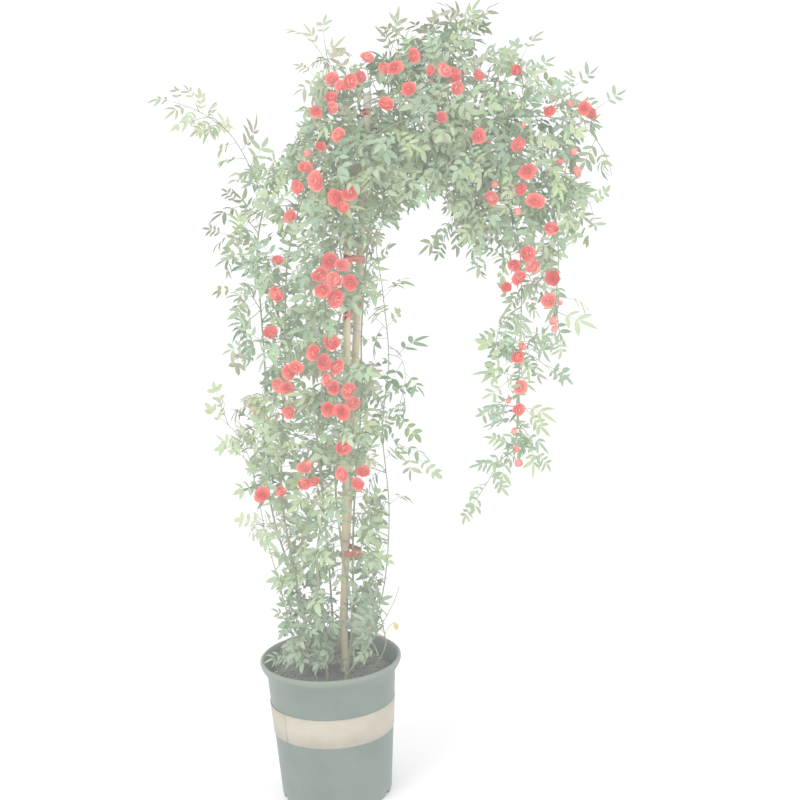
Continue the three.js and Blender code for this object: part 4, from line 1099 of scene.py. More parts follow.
plant = {}
for name, (thick, route, twigs) in CANES.items():
    x, y, z = route[0]
    points = [metres(p) for p in [(x, y, z - STEM_DEPTH), *route]]
    slim = SLIMMER.get(name, SLIM)
    own = [Stem(points, slim * thick[0] * MM, slim * thick[1] * MM, STEM_STEP * MM, STEM_CUT * MM)]
    for twig in twigs + MORE_TWIGS.get(name, []):
        points = [metres(p) for p in twig]
        points[0] = min((line.nearest(points[0]) for line in own), key=lambda found: found[1])[0]
        own.append(Stem(points, *(slim * r * MM for r in TWIG_THICK), TWIG_STEP * MM, TWIG_CUT * MM))
    plant[name] = own
print("canes and twigs:", sum(len(own) for own in plant.values()), "lines,",
      round(sum(line.length() for own in plant.values() for line in own), 1), "m")

# %% [markdown]
# ## Where the blooms are
#
# The blooms come in sprays of one to seven. Each is given by its middle and its radius, and a small radius
# means a bud. They are listed before the leaves are made, because no leaf is allowed to grow across the face
# of a bloom.

# %% Sprays of blooms, in millimetres
SPRAYS = {
    "crown_left": [(103, -55, 1176, 12), (92, -75, 1147, 12), (78, -96, 1141, 13), (63, -78, 1136, 11.5)],
    "shoulder_left": [
        (50, -62, 1147, 12), (48, -62, 1119, 12), (50, -80, 1105, 11.5), (25, -66, 1100, 11.5),
    ],
    "crown_middle": [(129, -56, 1160, 11.5), (143, -76, 1158, 13), (172, -60, 1175, 11.5)],
    "below_crown": [(161, -88, 1128, 12), (128, -95, 1108, 13)],
    "crown_right": [
        (196, -62, 1152, 10), (213, -82, 1150, 13), (230, -64, 1145, 13), (231, -82, 1126, 13),
        (266, -56, 1144, 11.5),
    ],
    "arch_front": [(208, -92, 1085, 10.5)],
    "arch_middle": [(261, -90, 1056, 13.5)],
    "shoulder_front": [(56, -92, 1066, 13)],
    "shoulder_fall": [
        (29, -82, 1050, 10), (10, -74, 1041, 9), (5, -70, 1021, 12), (20, -82, 1001, 16),
        (-6, -70, 992, 13),
    ],
    "column_top": [(48, -86, 975, 13), (70, -98, 983, 13.5), (59, -104, 962, 10.5)],
    "column_top_left": [(-22, -72, 949, 11.5)],
    "arch_right_top": [(323, -45, 1148, 11.5)],
    "arch_right_end": [
        (370, -48, 1088, 11.5), (403, -38, 1098, 9), (423, -40, 1090, 11.5), (435, -24, 1081, 10),
    ],
    "arch_right_front": [(328, -66, 1068, 8), (321, -72, 1040, 12)],
    "right_edge": [(405, -26, 1025, 9), (385, -36, 1012, 8), (411, -24, 996, 10)],
    "fall_top": [(332, -76, 1001, 13.5), (321, -74, 976, 10), (343, -72, 958, 13.5), (318, -64, 943, 9)],
    "fall_left": [(284, -50, 983, 9), (279, -60, 964, 13)],
    "fall_right": [(367, -62, 913, 13)],
    "fall_middle": [
        (333, -52, 879, 13.5), (340, -66, 858, 13), (311, -46, 861, 10.5), (317, -60, 843, 13),
        (299, -52, 828, 10.5),
    ],
    "fall_right_low": [
        (369, -56, 840, 13.5), (362, -54, 807, 12), (380, -46, 801, 7), (367, -54, 775, 9),
        (372, -44, 762, 8),
    ],
    "tail_top": [(323, -24, 732, 9), (315, -36, 718, 11.5)],
    "tail_middle": [(319, -32, 670, 11.5), (299, -24, 649, 7), (315, -30, 634, 10.5)],
    "tail_low": [(307, -26, 600, 8), (310, -26, 571, 9), (312, -24, 548, 9)],
    "left_upper": [(-44, -66, 884, 10), (-46, -70, 835, 13)],
    "left_edge": [(-61, -66, 776, 11.5)],
    "column_heart": [
        (35, -82, 882, 13.5), (53, -98, 877, 11.5), (20, -96, 863, 12), (43, -110, 856, 13.5),
        (64, -98, 850, 12), (23, -114, 842, 12), (42, -102, 828, 14.5),
    ],
    "column_upper": [(33, -100, 763, 13), (3, -94, 747, 12)],
    "column_left": [(-23, -96, 727, 12), (-36, -80, 716, 12), (-55, -62, 694, 11.5), (-41, -80, 693, 11.5)],
    "column_middle": [(18, -86, 731, 12), (38, -104, 726, 13), (21, -122, 709, 11.5), (31, -106, 695, 12)],
    "column_lower": [(53, -98, 688, 13), (58, -86, 667, 12), (43, -116, 659, 13.5), (22, -102, 662, 12)],
    "column_left_low": [(-39, -84, 656, 10.5)],
    "column_low": [(42, -92, 600, 13)],
    "low_left": [(-22, -72, 566, 11.5), (-11, -84, 576, 8), (-6, -76, 546, 10), (-21, -92, 547, 12)],
    "low_right": [(36, -92, 558, 13), (69, -70, 556, 12), (61, -84, 540, 10.5)],
    "low_edge": [(-87, -88, 530, 12), (-59, -90, 534, 10)],
    "back_shoulder": [(70, 122, 1010, 12), (48, 116, 992, 13), (66, 128, 984, 10.5)],
    "back_arch": [(262, 112, 1058, 13), (284, 114, 1044, 11.5)],
    "back_column": [(-2, 124, 712, 12), (18, 126, 694, 13), (-10, 122, 684, 10.5)],
    "back_low": [(8, 126, 548, 12), (-14, 122, 536, 10.5)],
    "back_left": [(-112, 88, 640, 12), (-104, 94, 618, 11.5)],
}


def bloom_front(x, y, z):
    """The way a bloom faces: outwards from the front or the back, each a little differently."""
    keys = (abs(x), abs(z))
    side = between(-0.9, 0.9, *keys, 1)
    return Vector((side, math.copysign(1, y), between(-0.3, 0.9, *keys, 2))).normalized()


print("blooms:", sum(len(spray) for spray in SPRAYS.values()), "in", len(SPRAYS), "sprays")

# %% [markdown]
# ## What leaves keep clear of
#
# Leaves crowd round a bloom but rarely lie across its face, and the two stakes show in a few places between
# them. So before a shoot or leaf is made, a few places on it are tested against the blooms, and against the
# heights in `STAKE_SHOWS`. Testing places is far quicker than testing finished meshes against each other.

# %% Blooms and stakes kept clear
CLEAR_AHEAD = 0.09  # how far in front of a bloom leaves keep away, in metres
CLEAR_BEHIND = 0.4  # and how far behind its middle, as a share of its radius
SEEN_FROM_ABOVE = 0.1  # how much a leaf's place in view sinks for each metre that it is nearer
STAKE_SHOWS = [  # heights between which the stakes aren't hidden by leaves, in millimetres
    (256, 372), (400, 500), (738, 768), (790, 810), (870, 888), (1086, 1134),
]
STAKE_ROOM = 9  # beside the stakes, in millimetres

faces_kept_clear = []
for spray in SPRAYS.values():
    faces_kept_clear += [(metres(bloom[:3]), bloom[3] * MM, math.copysign(1, bloom[1])) for bloom in spray]


def hides_bloom(points, room):
    """Whether any of some places stands in front of a bloom."""
    for middle, radius, side in faces_kept_clear:
        for p in points:
            ahead = (p.y - middle.y) * side
            if -CLEAR_BEHIND * radius < ahead < CLEAR_AHEAD:
                above = p.z - middle.z - SEEN_FROM_ABOVE * ahead
                if math.hypot(p.x - middle.x, above) < radius + room:
                    return True
    return False


def hides_stake(points):
    """Whether any of some places stands in front of the stakes where they show."""
    for p in points:
        if any(low * MM < p.z < high * MM for low, high in STAKE_SHOWS):
            stakes = [name for name, (_, tip, _) in STAKES.items() if p.z < (tip[2] + 8) * MM]
            across = [stake_at(name, p.z).x for name in stakes]
            if across and p.y < 0.02 and min(across) - STAKE_ROOM * MM < p.x < max(across) + STAKE_ROOM * MM:
                return True
    return False


print("faces kept clear:", len(faces_kept_clear), "and stretches of stake:", len(STAKE_SHOWS))

# %% [markdown]
# ## One leaf
#
# A rose leaf is five or seven leaflets on a common rib. Each leaflet is pointed at both ends, folded up along
# its middle, and has a saw-toothed edge. A leaflet starts as a flat grid, two squares wide and six long, and
# its rows are drawn in and out to give the outline and its teeth. There are thousands of them on the plant, so
# each stays at twelve faces. Nine different leaves are made here and copied later, which is quicker than
# making each one, and enough that neighbours rarely look alike. The last three are slim: leaves at the ends of
# twigs have narrow leaflets that hang down.

# %% Leaf patterns
WIDE_LEAVES = 6
SLIM_LEAVES = 3
DROOP = (0.05, 0.3)
SLIM_DROOP = (0.3, 0.55)
LEAFLET_ROWS = 6
LEAFLET_TIP = 0.03  # how wide a leaflet is at its two ends
TOOTH = 0.88  # how wide it is between its teeth
WAVE = 0.02


def leaflet(bm, root, turn, tilt, length, half, fold, droop, keys):
    """One leaflet from its root, turned away from the rib and tilted about its own length."""
    grid = bmesh.ops.create_grid(bm, x_segments=2, y_segments=LEAFLET_ROWS, size=1)["verts"]
    uv = bm.loops.layers.uv["blade"]
    for face in {face for v in grid for face in v.link_faces}:
        face.material_index = 1
        for loop in face.loops:
            loop[uv].uv = (loop.vert.co.x * 0.5 + 0.5, loop.vert.co.y * 0.5 + 0.5)
    bend = between(-0.08, 0.08, *keys, 1)
    for v in grid:
        across = v.co.x
        along = v.co.y * 0.5 + 0.5
        row = round(along * LEAFLET_ROWS)
        wide = math.sin(math.pi * along**0.88) ** 0.75 if 0 < row < LEAFLET_ROWS else LEAFLET_TIP
        if row % 2 and 1 < row < LEAFLET_ROWS - 1:
            wide *= TOOTH
        y = across * half * wide
        wave = WAVE * length * math.sin(7 * along + 3 * across)
        z = fold * abs(y) - droop * along * along * length + wave
        v.co = Vector((along * length, y + bend * along * along * length, z))
    turned = Matrix.Rotation(turn, 4, "Z") @ Matrix.Rotation(between(-0.15, 0.3, *keys, 2), 4, "Y")
    move = Matrix.Translation(root) @ turned @ Matrix.Rotation(tilt, 4, "X")
    bmesh.ops.transform(bm, matrix=move, verts=grid)


def leaf_pattern(number, slim):
    """A whole leaf of unit length along +X, with its upper side up. Odd ones have three pairs of leaflets."""
    bm = bmesh.new()
    bm.loops.layers.uv.new("blade")
    pairs = 3 if number % 2 else 2
    rib_end = 0.6 if slim else 0.76
    narrow = 0.66 if slim else 1.0
    longer = 1.2 if slim else 1.0
    tube(bm, [Vector((s, 0, 0)) for s in (0, 0.3, 0.55, rib_end)], [0.011, 0.009, 0.007, 0.005], 3)
    first = (0.4 if pairs == 2 else 0.26) * (0.75 if slim else 1)
    joints = [first + (rib_end - 0.06 - first) * k / (pairs - 1) for k in range(pairs)]
    shortest = 0.3 if pairs == 2 else 0.25
    for k, joint in enumerate(joints):
        for side in (-1, 1):
            keys = (number, k, side + 1)
            root = Vector((joint + 0.01 * side, 0, 0))
            turn = side * between(0.9, 1.2, *keys, 4)
            tilt = between(-0.4, 0.4, *keys, 5)
            size = between(shortest, shortest + 0.06, *keys, 3) * (0.84 if k == 0 else 1) * longer
            half = size * between(0.23, 0.29, *keys, 6) * narrow
            fold = between(0.25, 0.6, *keys, 7)
            leaflet(bm, root, turn, tilt, size, half, fold, between(0.05, 0.35, *keys, 8), keys)
    end = Vector((rib_end - 0.01, 0, 0))
    turn = between(-0.2, 0.2, number, 9)
    tilt = between(-0.4, 0.4, number, 10)
    leaflet(bm, end, turn, tilt, 0.34 * longer, 0.09 * narrow, 0.4, 0.2, (number, 99, 1))
    droop = between(*(SLIM_DROOP if slim else DROOP), number, 70)
    sway = between(-0.12, 0.12, number, 71)
    for v in bm.verts:
        v.co.z -= droop * v.co.x**2
        v.co.y += sway * v.co.x**2
    return as_mesh(f"leaf_pattern_{number}", bm)


leaf_patterns = [leaf_pattern(k, k >= WIDE_LEAVES) for k in range(WIDE_LEAVES + SLIM_LEAVES)]
print("leaf patterns:", [len(mesh.polygons) for mesh in leaf_patterns], "faces")

# %% [markdown]
# ## The leaf's finish
#
# A leaf's veins follow its surface, so they are drawn on its UV map: a pale middle rib, and side veins that
# slant forward from it. Each leaf also carries four values: how light it is, how bronze (a young rose leaf is
# reddish), how pale and lime, and whether its green leans to blue or to yellow. One material reads them, so
# hundreds of leaves differ with no more materials. The underside is paler, which the Backfacing value picks
# out.

# %% Veins group


def from_half(tree, value):
    """How far a value is from 0.5, as a place on a leaflet's map is from its rib."""
    return calculate(tree, "ABSOLUTE", calculate(tree, "SUBTRACT", value, 0.5))


def build_veins():
    """Masks on a map that runs from 0 to 1 both ways: a rib with side veins, and the leaflet's edge."""
    inputs = {"Vector": ("Vector", (0, 0, 0)), "Pairs": ("Float", 7.0)}
    group, start, end = new_group("veins", inputs, {"Mask": "Float", "Edge": "Float"})
    parts = add_node(group, "ShaderNodeSeparateXYZ", Vector=start.outputs["Vector"])
    side = from_half(group, parts.outputs["X"])
    rib = rescale(group, side, 0.07, 0.02)
    along = scaled(group, parts.outputs["Y"], start.outputs["Pairs"])
    slant = calculate(group, "SUBTRACT", along, scaled(group, side, 3.0))
    from_vein = from_half(group, calculate(group, "FRACT", slant))
    vein = scaled(group, rescale(group, from_vein, 0.13, 0.04), 0.55)
    group.links.new(calculate(group, "MAXIMUM", rib, vein), end.inputs["Mask"])
    group.links.new(rescale(group, side, 0.36, 0.5), end.inputs["Edge"])
    return group


VEINS = build_veins()
print("groups:", [group.name for group in bpy.data.node_groups])

# %% [markdown]
# ## The leaf's colours
#
# The colours are laid over each other in turn: a drifting green, then what makes a leaf blue or yellow, dark,
# reddish or light, where the darkest greens of leaves low on the plant are painted shade, then lime, yellow and
# bronze leaves, and last the red edge, the veins and the pale underside.

# %% Leaf finish
rose_leaf, tree, shader = new_material("rose_leaf", Roughness=0.55, Specular_IOR_Level=0.22)
tone, fine = drift(tree, object_place(tree), colour(124, 166, 112), colour(96, 144, 94), 35, 260, 0.35)
shade, bronze, lime, hue = (mark(tree, label) for label in ("tone", "bronze", "lime", "hue"))
seed = calculate(tree, "ADD", shade, 3.7)
redness = add_node(tree, "ShaderNodeTexWhiteNoise", noise_dimensions="1D", W=seed).outputs["Value"]
blade_map = add_node(tree, "ShaderNodeUVMap", uv_map="blade").outputs["UV"]
veins = add_node(tree, "ShaderNodeGroup", node_tree=VEINS, Vector=blade_map, Pairs=7.0)
under = tree.nodes.new("ShaderNodeNewGeometry").outputs["Backfacing"]
for mask, over in (
    (rescale(tree, hue, -0.1, -1.0, 0.0, 0.9), colour(78, 140, 112)),
    (rescale(tree, hue, 0.2, 1.0, 0.0, 0.9), colour(156, 182, 84)),
    # A tone from 0 to 1 is each leaf's own lightness, drawn at random. A tone below 0 is painted shade: only
    # leaves low on the plant have it, and these two rows darken them
    (rescale(tree, shade, -0.3, 0.5, 1.0, 0.0), colour(52, 104, 78)),
    (rescale(tree, shade, 0.05, -0.25, 0.0, 0.7), colour(34, 70, 50)),
    (rescale(tree, redness, 0.84, 1.0, 0.0, 0.75), colour(142, 118, 98)),
    (rescale(tree, shade, 0.6, 1.0, 0.0, 0.65), colour(172, 200, 140)),
    (scaled(tree, lime, 0.8), colour(202, 214, 156)),
    (rescale(tree, lime, 1.2, 1.6), colour(232, 186, 24)),
    (scaled(tree, bronze, 0.85), colour(142, 98, 84)),
    (scaled(tree, veins.outputs["Edge"], rescale(tree, redness, 0.3, 0.8, 0.1, 0.6)), colour(158, 122, 102)),
    (scaled(tree, veins.outputs["Mask"], 0.3), colour(184, 202, 148)),
    (scaled(tree, under, 0.35), colour(160, 182, 144)),
):
    tone = mix_colour(tree, mask, tone, over)
tree.links.new(tone, shader.inputs["Base Color"])
relief = calculate(tree, "ADD", scaled(tree, veins.outputs["Mask"], -1.0), fine)
bump(tree, shader, relief, 0.25, 0.0006)
print("the leaf's finish has", len(tree.nodes), "nodes")

# %% [markdown]
# ## The finish of canes and twigs
#
# Old canes are grey-brown and streaked along their length, and new ones are smooth and green. Each place on a
# stem carries its age, and the material goes from one to the other.

# %% Cane finish
rose_cane, tree, shader = new_material("rose_cane", Roughness=0.6, Specular_IOR_Level=0.35)
here = object_place(tree)
tone, fine = drift(tree, here, colour(116, 144, 88), colour(112, 126, 86), 22, 400, 0.4)
long_way = add_node(tree, "ShaderNodeMapping", Vector=here, Scale=(1, 1, 0.12)).outputs["Vector"]
streaks = soft_noise(tree, long_way, 700.0)
bark = mix_colour(tree, rescale(tree, streaks, 0.4, 0.6), colour(122, 130, 98), colour(98, 104, 82))
tree.links.new(mix_colour(tree, mark(tree, "age"), tone, bark), shader.inputs["Base Color"])
bump(tree, shader, calculate(tree, "ADD", streaks, fine), 0.4, 0.0005)
print("finishes:", [material.name for material in bpy.data.materials])

# %% [markdown]
# ## The plant's outline
#
# A trained rose is clipped, so its bushy part has a clear outline, with a bay under the arch. `BUSH` is this
# outline as seen from the front, and shoots stay within it. Whether a place is inside is found by the even-odd
# rule: go from it in one direction and count how often the outline is crossed.

# %% Outline
BUSH = [  # [across, height] in millimetres. Twigs reach past it
    (-96, 236), (-78, 285), (-70, 330), (-86, 375), (-102, 450), (-106, 495), (-126, 550), (-136, 600),
    (-126, 650), (-84, 705), (-84, 745), (-70, 800), (-100, 850), (-132, 905), (-112, 940), (-116, 1020),
    (-40, 1045), (-6, 1085), (6, 1130), (32, 1160), (66, 1180), (96, 1194), (130, 1222), (215, 1226),
    (225, 1258), (288, 1256), (300, 1190), (350, 1192), (400, 1162), (445, 1100), (464, 1076), (418, 1034),
    (438, 965), (420, 905), (386, 850), (396, 800), (392, 752), (362, 700), (342, 650), (322, 600),
    (344, 565), (312, 522), (258, 560), (270, 650), (286, 750), (294, 800), (262, 850), (250, 880),
    (232, 922), (216, 962), (185, 975), (150, 945), (120, 920), (108, 860), (90, 810), (74, 745),
    (104, 700), (110, 645), (88, 600), (76, 545), (98, 500), (106, 420), (88, 345), (80, 312), (88, 240),
]


def in_bush(points):
    """Whether places are all within the outline."""
    for p in points:
        x, z = p.x / MM, p.z / MM
        crossings = 0
        for (x1, z1), (x2, z2) in zip(BUSH, BUSH[1:] + BUSH[:1]):
            if (z1 > z) != (z2 > z) and x < x1 + (x2 - x1) * (z - z1) / (z2 - z1):
                crossings += 1
        if crossings % 2 == 0:
            return False
    return True


print("the middle of the arch is in the bush:", in_bush([metres((200, 0, 1100))]))

# %% [markdown]
# ## Where nothing grows
#
# Leaves also keep within the solids' box, off the pot's rim and the soil that is bare, and out of the corner
# under the arch's right end. Each rule compares a place with a height or a side, which is the quickest test
# of all, so these come first.

# %% Bounds
ROOM = 7 * MM  # how far past the solids' box a leaf may reach
SOIL_CLEAR = 0.214
RIM_CLEAR = 0.24
RIM_INSIDE = 0.094
box_low, box_high = (Vector(corner) for corner in SOLID_BOX)


def inside(points):
    """Whether places are all in the solids' box and off the pot, the soil and what is bare."""
    for p in points:
        past_box = any(not box_low[i] - ROOM < p[i] < box_high[i] + ROOM for i in range(3))
        on_pot = p.z < SOIL_CLEAR or p.z < RIM_CLEAR and math.hypot(p.x, p.y) > RIM_INSIDE
        beside_pot = p.z < 0.33 and not -0.098 < p.x < 0.1
        over_bare_front = p.z < 0.33 and p.y + 2.5 * (p.z - 0.233) < -0.05
        over_bare_right = p.z < 0.275 and p.x > 0.06
        under_arch_end = p.x > 0.466 and p.z < 1.04
        if past_box or on_pot or beside_pot or over_bare_front or over_bare_right or under_arch_end:
            return False
    return True


def clear(points, room):
    """Whether places are within bounds and hide neither a bloom nor what shows of the stakes."""
    return inside(points) and not hides_bloom(points, room) and not hides_stake(points)


print("a place in the pot's wall is clear:", clear([metres((110, 0, 220))], 0))

# %% [markdown]
# ## Side shoots
#
# Short shoots branch off the canes all the way up, reach outwards and then nod under their own weight. They
# carry most of the leaves, and each zone of the plant has its own spacing: close in the arch, open near the
# foot. The turn from one shoot or leaf to the next is the golden angle, as on a real plant, which spreads them
# evenly round the stem. A shoot that would stand in front of a bloom is turned further, and left out if no
# turn helps.

# %% Side shoots
GOLDEN = 2.4  # the golden angle, in radians
TRIES = 6
NEXT_TRY = 1.15  # how much further round each try is, in radians
FIRST_SHOOT = {"stem": 68, "twig": 60}  # how far from a line's foot, in millimetres


def turned_round(tangent, angle):
    """A direction square to a line, turned round it by an angle."""
    away = Vector((0, 1, 0)) if abs(tangent.z) > 0.9 else UP
    side = tangent.cross(away).normalized()
    return side * math.cos(angle) + side.cross(tangent).normalized() * math.sin(angle)


ZONES = {  # how far apart shoots are, how far they reach, and how far apart leaves are, in millimetres
    "base": (28, (24, 46), 11),
    "foot": (62, (32, 58), 22),
    "column": (42, (35, 72), 13),
    "arch": (22, (42, 88), 11),
    "fall": (46, (30, 56), 17),
}
ZONE_TOPS = {"base": 0.33, "foot": 0.5, "column": 0.94, "arch": 9}


def zone_name(place):
    """The zone that a place is in. The fall is what hangs down on the right, and the rest goes by height."""
    if place.x > 0.25 and place.z < 0.95:
        return "fall"
    return next(name for name, top in ZONE_TOPS.items() if place.z < top)


def side_shoots(line, kind, keys):
    """Shoots in turn up a line, closer together where the plant is bushier."""
    length = line.length() / MM
    shoots = []
    at = FIRST_SHOOT[kind]
    k = 0
    while at < length - 20:
        here_keys = (*keys, 50, k)
        root, tangent = line.at(at / length)
        every, reach, _ = ZONES[zone_name(root)]
        size = between(*reach, *here_keys, 1) * MM * (1 if kind == "stem" else 0.7)
        for go in range(TRIES):
            out = (turned_round(tangent, k * GOLDEN + keys[0] + go * NEXT_TRY) + tangent * 0.35).normalized()
            points = [root + out * s * size + UP * size * (0.35 * s - 0.5 * s * s) for s in (0, 0.5, 1)]
            if in_bush(points[1:]) and clear(points[1:], 3 * MM):
                shoots.append(Stem(points, 1.0 * MM, 0.6 * MM, 9 * MM))
                break
        at += every * between(0.8, 1.2, *here_keys)
        k += 1
    return shoots


shoots = {}
for index, (name, own) in enumerate(plant.items()):
    shoots[name] = []
    for i, line in enumerate(own):
        shoots[name] += side_shoots(line, "twig" if i else "stem", (index, i))
print("side shoots:", sum(len(group) for group in shoots.values()))

# %% [markdown]
# ## Placing a leaf
#
# A leaf is placed by a matrix whose columns are the way it points, the way across it and the way its face
# looks. Leaves at the plant's front turn their faces to the front, and those at its back to the back, as they
# do towards light. Where a leaf would cover a bloom, it is turned round its stem and tried again.

# %% Leaf places
LEAF_FRONT = 0.015  # leaves nearer than this face the front, and the rest the back
LEAF_MIDDLE = (0.4, 0.7, 1.0)  # places on a leaf that are tested, as shares of its length
LEAF_SIDES = ((0.4, -0.3), (0.4, 0.3), (0.75, 0.25), (0.75, -0.25))  # along it and across it


def square_to(way, along):
    """The direction nearest to another that is square to a third."""
    return (way - along * way.dot(along)).normalized()


def leaf_matrix(root, along, up, length):
    across = up.cross(along)
    turn = Matrix((along, across, up)).transposed().to_4x4()
    return Matrix.Translation(root) @ turn @ Matrix.Scale(length, 4)


def place_leaf(root, tangent, angle, length, keys, tip, loose, facing):
    """The matrix of a leaf that keeps clear of the blooms and of what shows of the stakes, or None."""
    front = -1 if root.y < LEAF_FRONT else 1
    for go in range(TRIES):
        if tip:
            along = tangent + turned_round(tangent, go * 1.3) * go * 0.3
        else:
            out = turned_round(tangent, angle + go * NEXT_TRY)
            along = out + tangent * between(0.25, 0.85, *keys, 1) + UP * between(-0.5, 0.2, *keys, 2)
        along.normalize()
        to_front = front * between(*facing, *keys, 4)
        up = square_to(Vector((between(-0.8, 0.8, *keys, 3), to_front, between(0.15, 0.9, *keys, 5))), along)
        middle = [root + along * length * s for s in LEAF_MIDDLE]
        sides = [root + along * length * t + up.cross(along) * length * s for t, s in LEAF_SIDES]
        if (loose or in_bush(middle)) and clear(middle + sides, 0.5 * MM):
            return leaf_matrix(root, along, up, length)
    return None


print("tries for each leaf:", TRIES)

# %% [markdown]
# ## What each leaf is like
#
# Leaves low on the plant are small and painted darker, a painted shade under the bush. Those on the crown's left
# twigs are small and bronze, and those of young canes are lime. So where a leaf grows gives its size, its
# pattern and its four values, and its own draw changes each a little.

# %% Leaf values
LEAF_VALUES = ("tone", "bronze", "lime", "hue")
LEAF_SIZE = {"low": 0.86, "far left": 0.82, "crown twig": 0.8, "bush": 1.0}
SLIM_SHARE = {"base": 0.35, "foot": 0.15, "column": 0.12, "arch": 0.18, "fall": 0.45}
SLIM_SHARE_HIGH = 0.7  # on twigs and along the crown
BRONZE = {"back_left_cane": 0.45, "left_cane": 0.12, "stake_cane": 0.1}
LIME = {"young_left_cane": 0.8, "young_right_cane": 0.5, "low_right_shoot": 0.2, "low_left_shoot": 0.1}


def part_of_plant(root, kind):
    """Which part of the plant a leaf grows on, where its leaves differ from the rest."""
    if root.z < 0.36:
        return "low"
    if root.x < -0.1 and root.z > 1.0:
        return "far left"
    if kind == "twig" and root.z > 1.1 and root.x < 0.07:
        return "crown twig"
    return "bush"


def leaf_values(name, kind, root, share, keys):
    """How light, how bronze and how lime a leaf is, and whether it leans to blue or to yellow."""
    part = part_of_plant(root, kind)
    light = draw(*keys, 20)
    # Low leaves get a tone below 0, painted shade that the leaf's finish turns into darker greens
    if part == "low":
        return dict(zip(LEAF_VALUES, (0.5 * light - 0.42, 0.0, 0.0, between(-1, 0.4, *keys, 27))))
    bronze_most = 0.8 if part == "crown twig" else BRONZE.get(name, 0.03) * (0.6 if kind == "stem" else 1)
    bronze = 1.6 * bronze_most * share**2 * draw(*keys, 21) + 0.6 * (draw(*keys, 22) > 0.985)
    lime = (LIME.get(name, 0.0) + 0.7 * (part == "far left")) * between(0.4, 1, *keys, 23)
    lime += 0.35 * (draw(*keys, 24) > 0.9)
    return dict(zip(LEAF_VALUES, (light, min(1.0, bronze), lime, between(-1, 1, *keys, 27))))


def leaf_pick(root, kind, keys):
    """Which of the leaf patterns a leaf is. Twigs, the crown and the fall have more of the slim ones."""
    slim_share = SLIM_SHARE_HIGH if kind == "twig" or root.z > 1.16 else SLIM_SHARE[zone_name(root)]
    if draw(*keys, 26) < slim_share:
        return WIDE_LEAVES + int(draw(*keys, 25) * SLIM_LEAVES)
    return int(draw(*keys, 25) * WIDE_LEAVES)


print("a leaf on a twig of the crown:", part_of_plant(metres((50, -50, 1150)), "twig"))

# %% [markdown]
# ## Leaves along a line
#
# Leaves sit in turn up a stem, a twig or a shoot, with one at its end. Each is a copy of a pattern that is moved
# by its matrix and marked with its values. Instances would use less memory, but with copies the cane stays one
# piece.

# %% Leaves along a line
LEAVES_ON = {  # from, every, length, in millimetres. Leaves on a stem are as far apart as its zone says
    "stem": (54, None, (50, 70)),
    "twig": (14, 15, (46, 66)),
    "shoot": (10, 11, (42, 62)),
}
LOOSE = ("young_left_cane", "right_cane")  # their stems' leaves may reach past the bush, and are fewer
LOOSE_GAP = 1.7
LOOSE_FROM = 0.46  # height from which they do
RIGHT_CANE_LEAF = 0.82  # the right cane's leaves are smaller, from above the pot on
TURNED_TO_LIGHT = {"stem": (-0.2, 1.1), "twig": (0.3, 1.4), "shoot": (-0.2, 1.1)}


def add_copy(bm, pattern, matrix, values):
    """A copy of a pattern in its place, with the values that its material reads."""
    copy = pattern.copy()
    copy.transform(matrix)
    before = len(bm.verts)
    bm.from_mesh(copy)
    bpy.data.meshes.remove(copy)
    bm.verts.ensure_lookup_table()
    for label, value in values.items():
        layer = bm.verts.layers.float[label]
        for v in bm.verts[before:]:
            v[layer] = value


def leaf_places(line, kind, name, keys):
    """Shares of the way along a line at which leaves grow, with one at its end."""
    at, every, _ = LEAVES_ON[kind]
    length = line.length() / MM
    places = []
    while at < length - 5:
        places.append(at / length)
        gap = every or ZONES[zone_name(line.at(at / length)[0])][2]
        spread = LOOSE_GAP if name in LOOSE and kind == "stem" else 1
        at += gap * spread * between(0.7, 1.3, *keys, len(places))
    return places + [1.0]


def add_leaves(bm, line, kind, keys, name):
    """Adds a line's leaves to a mesh, and counts them."""
    first = between(0, 6.28, *keys)
    added = 0
    for k, share in enumerate(leaf_places(line, kind, name, keys)):
        here_keys = (*keys, k)
        root, tangent = line.at(share)
        if root.z < SOIL_CLEAR:
            continue
        length = between(*LEAVES_ON[kind][2], *here_keys, 7) * (1.05 - 0.25 * share) * MM
        length *= LEAF_SIZE[part_of_plant(root, kind)]
        if name == "right_cane" and kind == "stem" and root.z > 0.36:
            length *= RIGHT_CANE_LEAF
        loose = kind == "twig" or name in LOOSE and kind == "stem" and root.z > LOOSE_FROM
        tip = share == 1.0
        facing = TURNED_TO_LIGHT[kind]
        matrix = place_leaf(root, tangent, first + k * GOLDEN, length, here_keys, tip, loose, facing)
        if matrix is not None:
            values = leaf_values(name, kind, root, share, here_keys)
            add_copy(bm, leaf_patterns[leaf_pick(root, kind, here_keys)], matrix, values)
            added += 1
    return added


print("leaf lengths:", {kind: size for kind, (_, _, size) in LEAVES_ON.items()})

# %% [markdown]
# ## Stems and prickles
#
# A stem is a tube that thins towards its tip, and each of its rings carries an age, which the cane's finish
# turns into bark or green skin. Prickles are four-sided cones that point a little down, as rose prickles do.

# %% Stems and prickles
PRICKLE_EVERY = 22  # along a stem, in millimetres
PRICKLE_LONG = 4
PRICKLE_RADIUS = 1.2


def add_stem(bm, line, sides, age_foot, age_tip):
    age = bm.verts.layers.float["age"]
    grown = tube(bm, line.points, line.radii(), sides)
    for k, v in enumerate(grown):
        v[age] = age_foot + (age_tip - age_foot) * (k // sides) / (len(line.points) - 1)


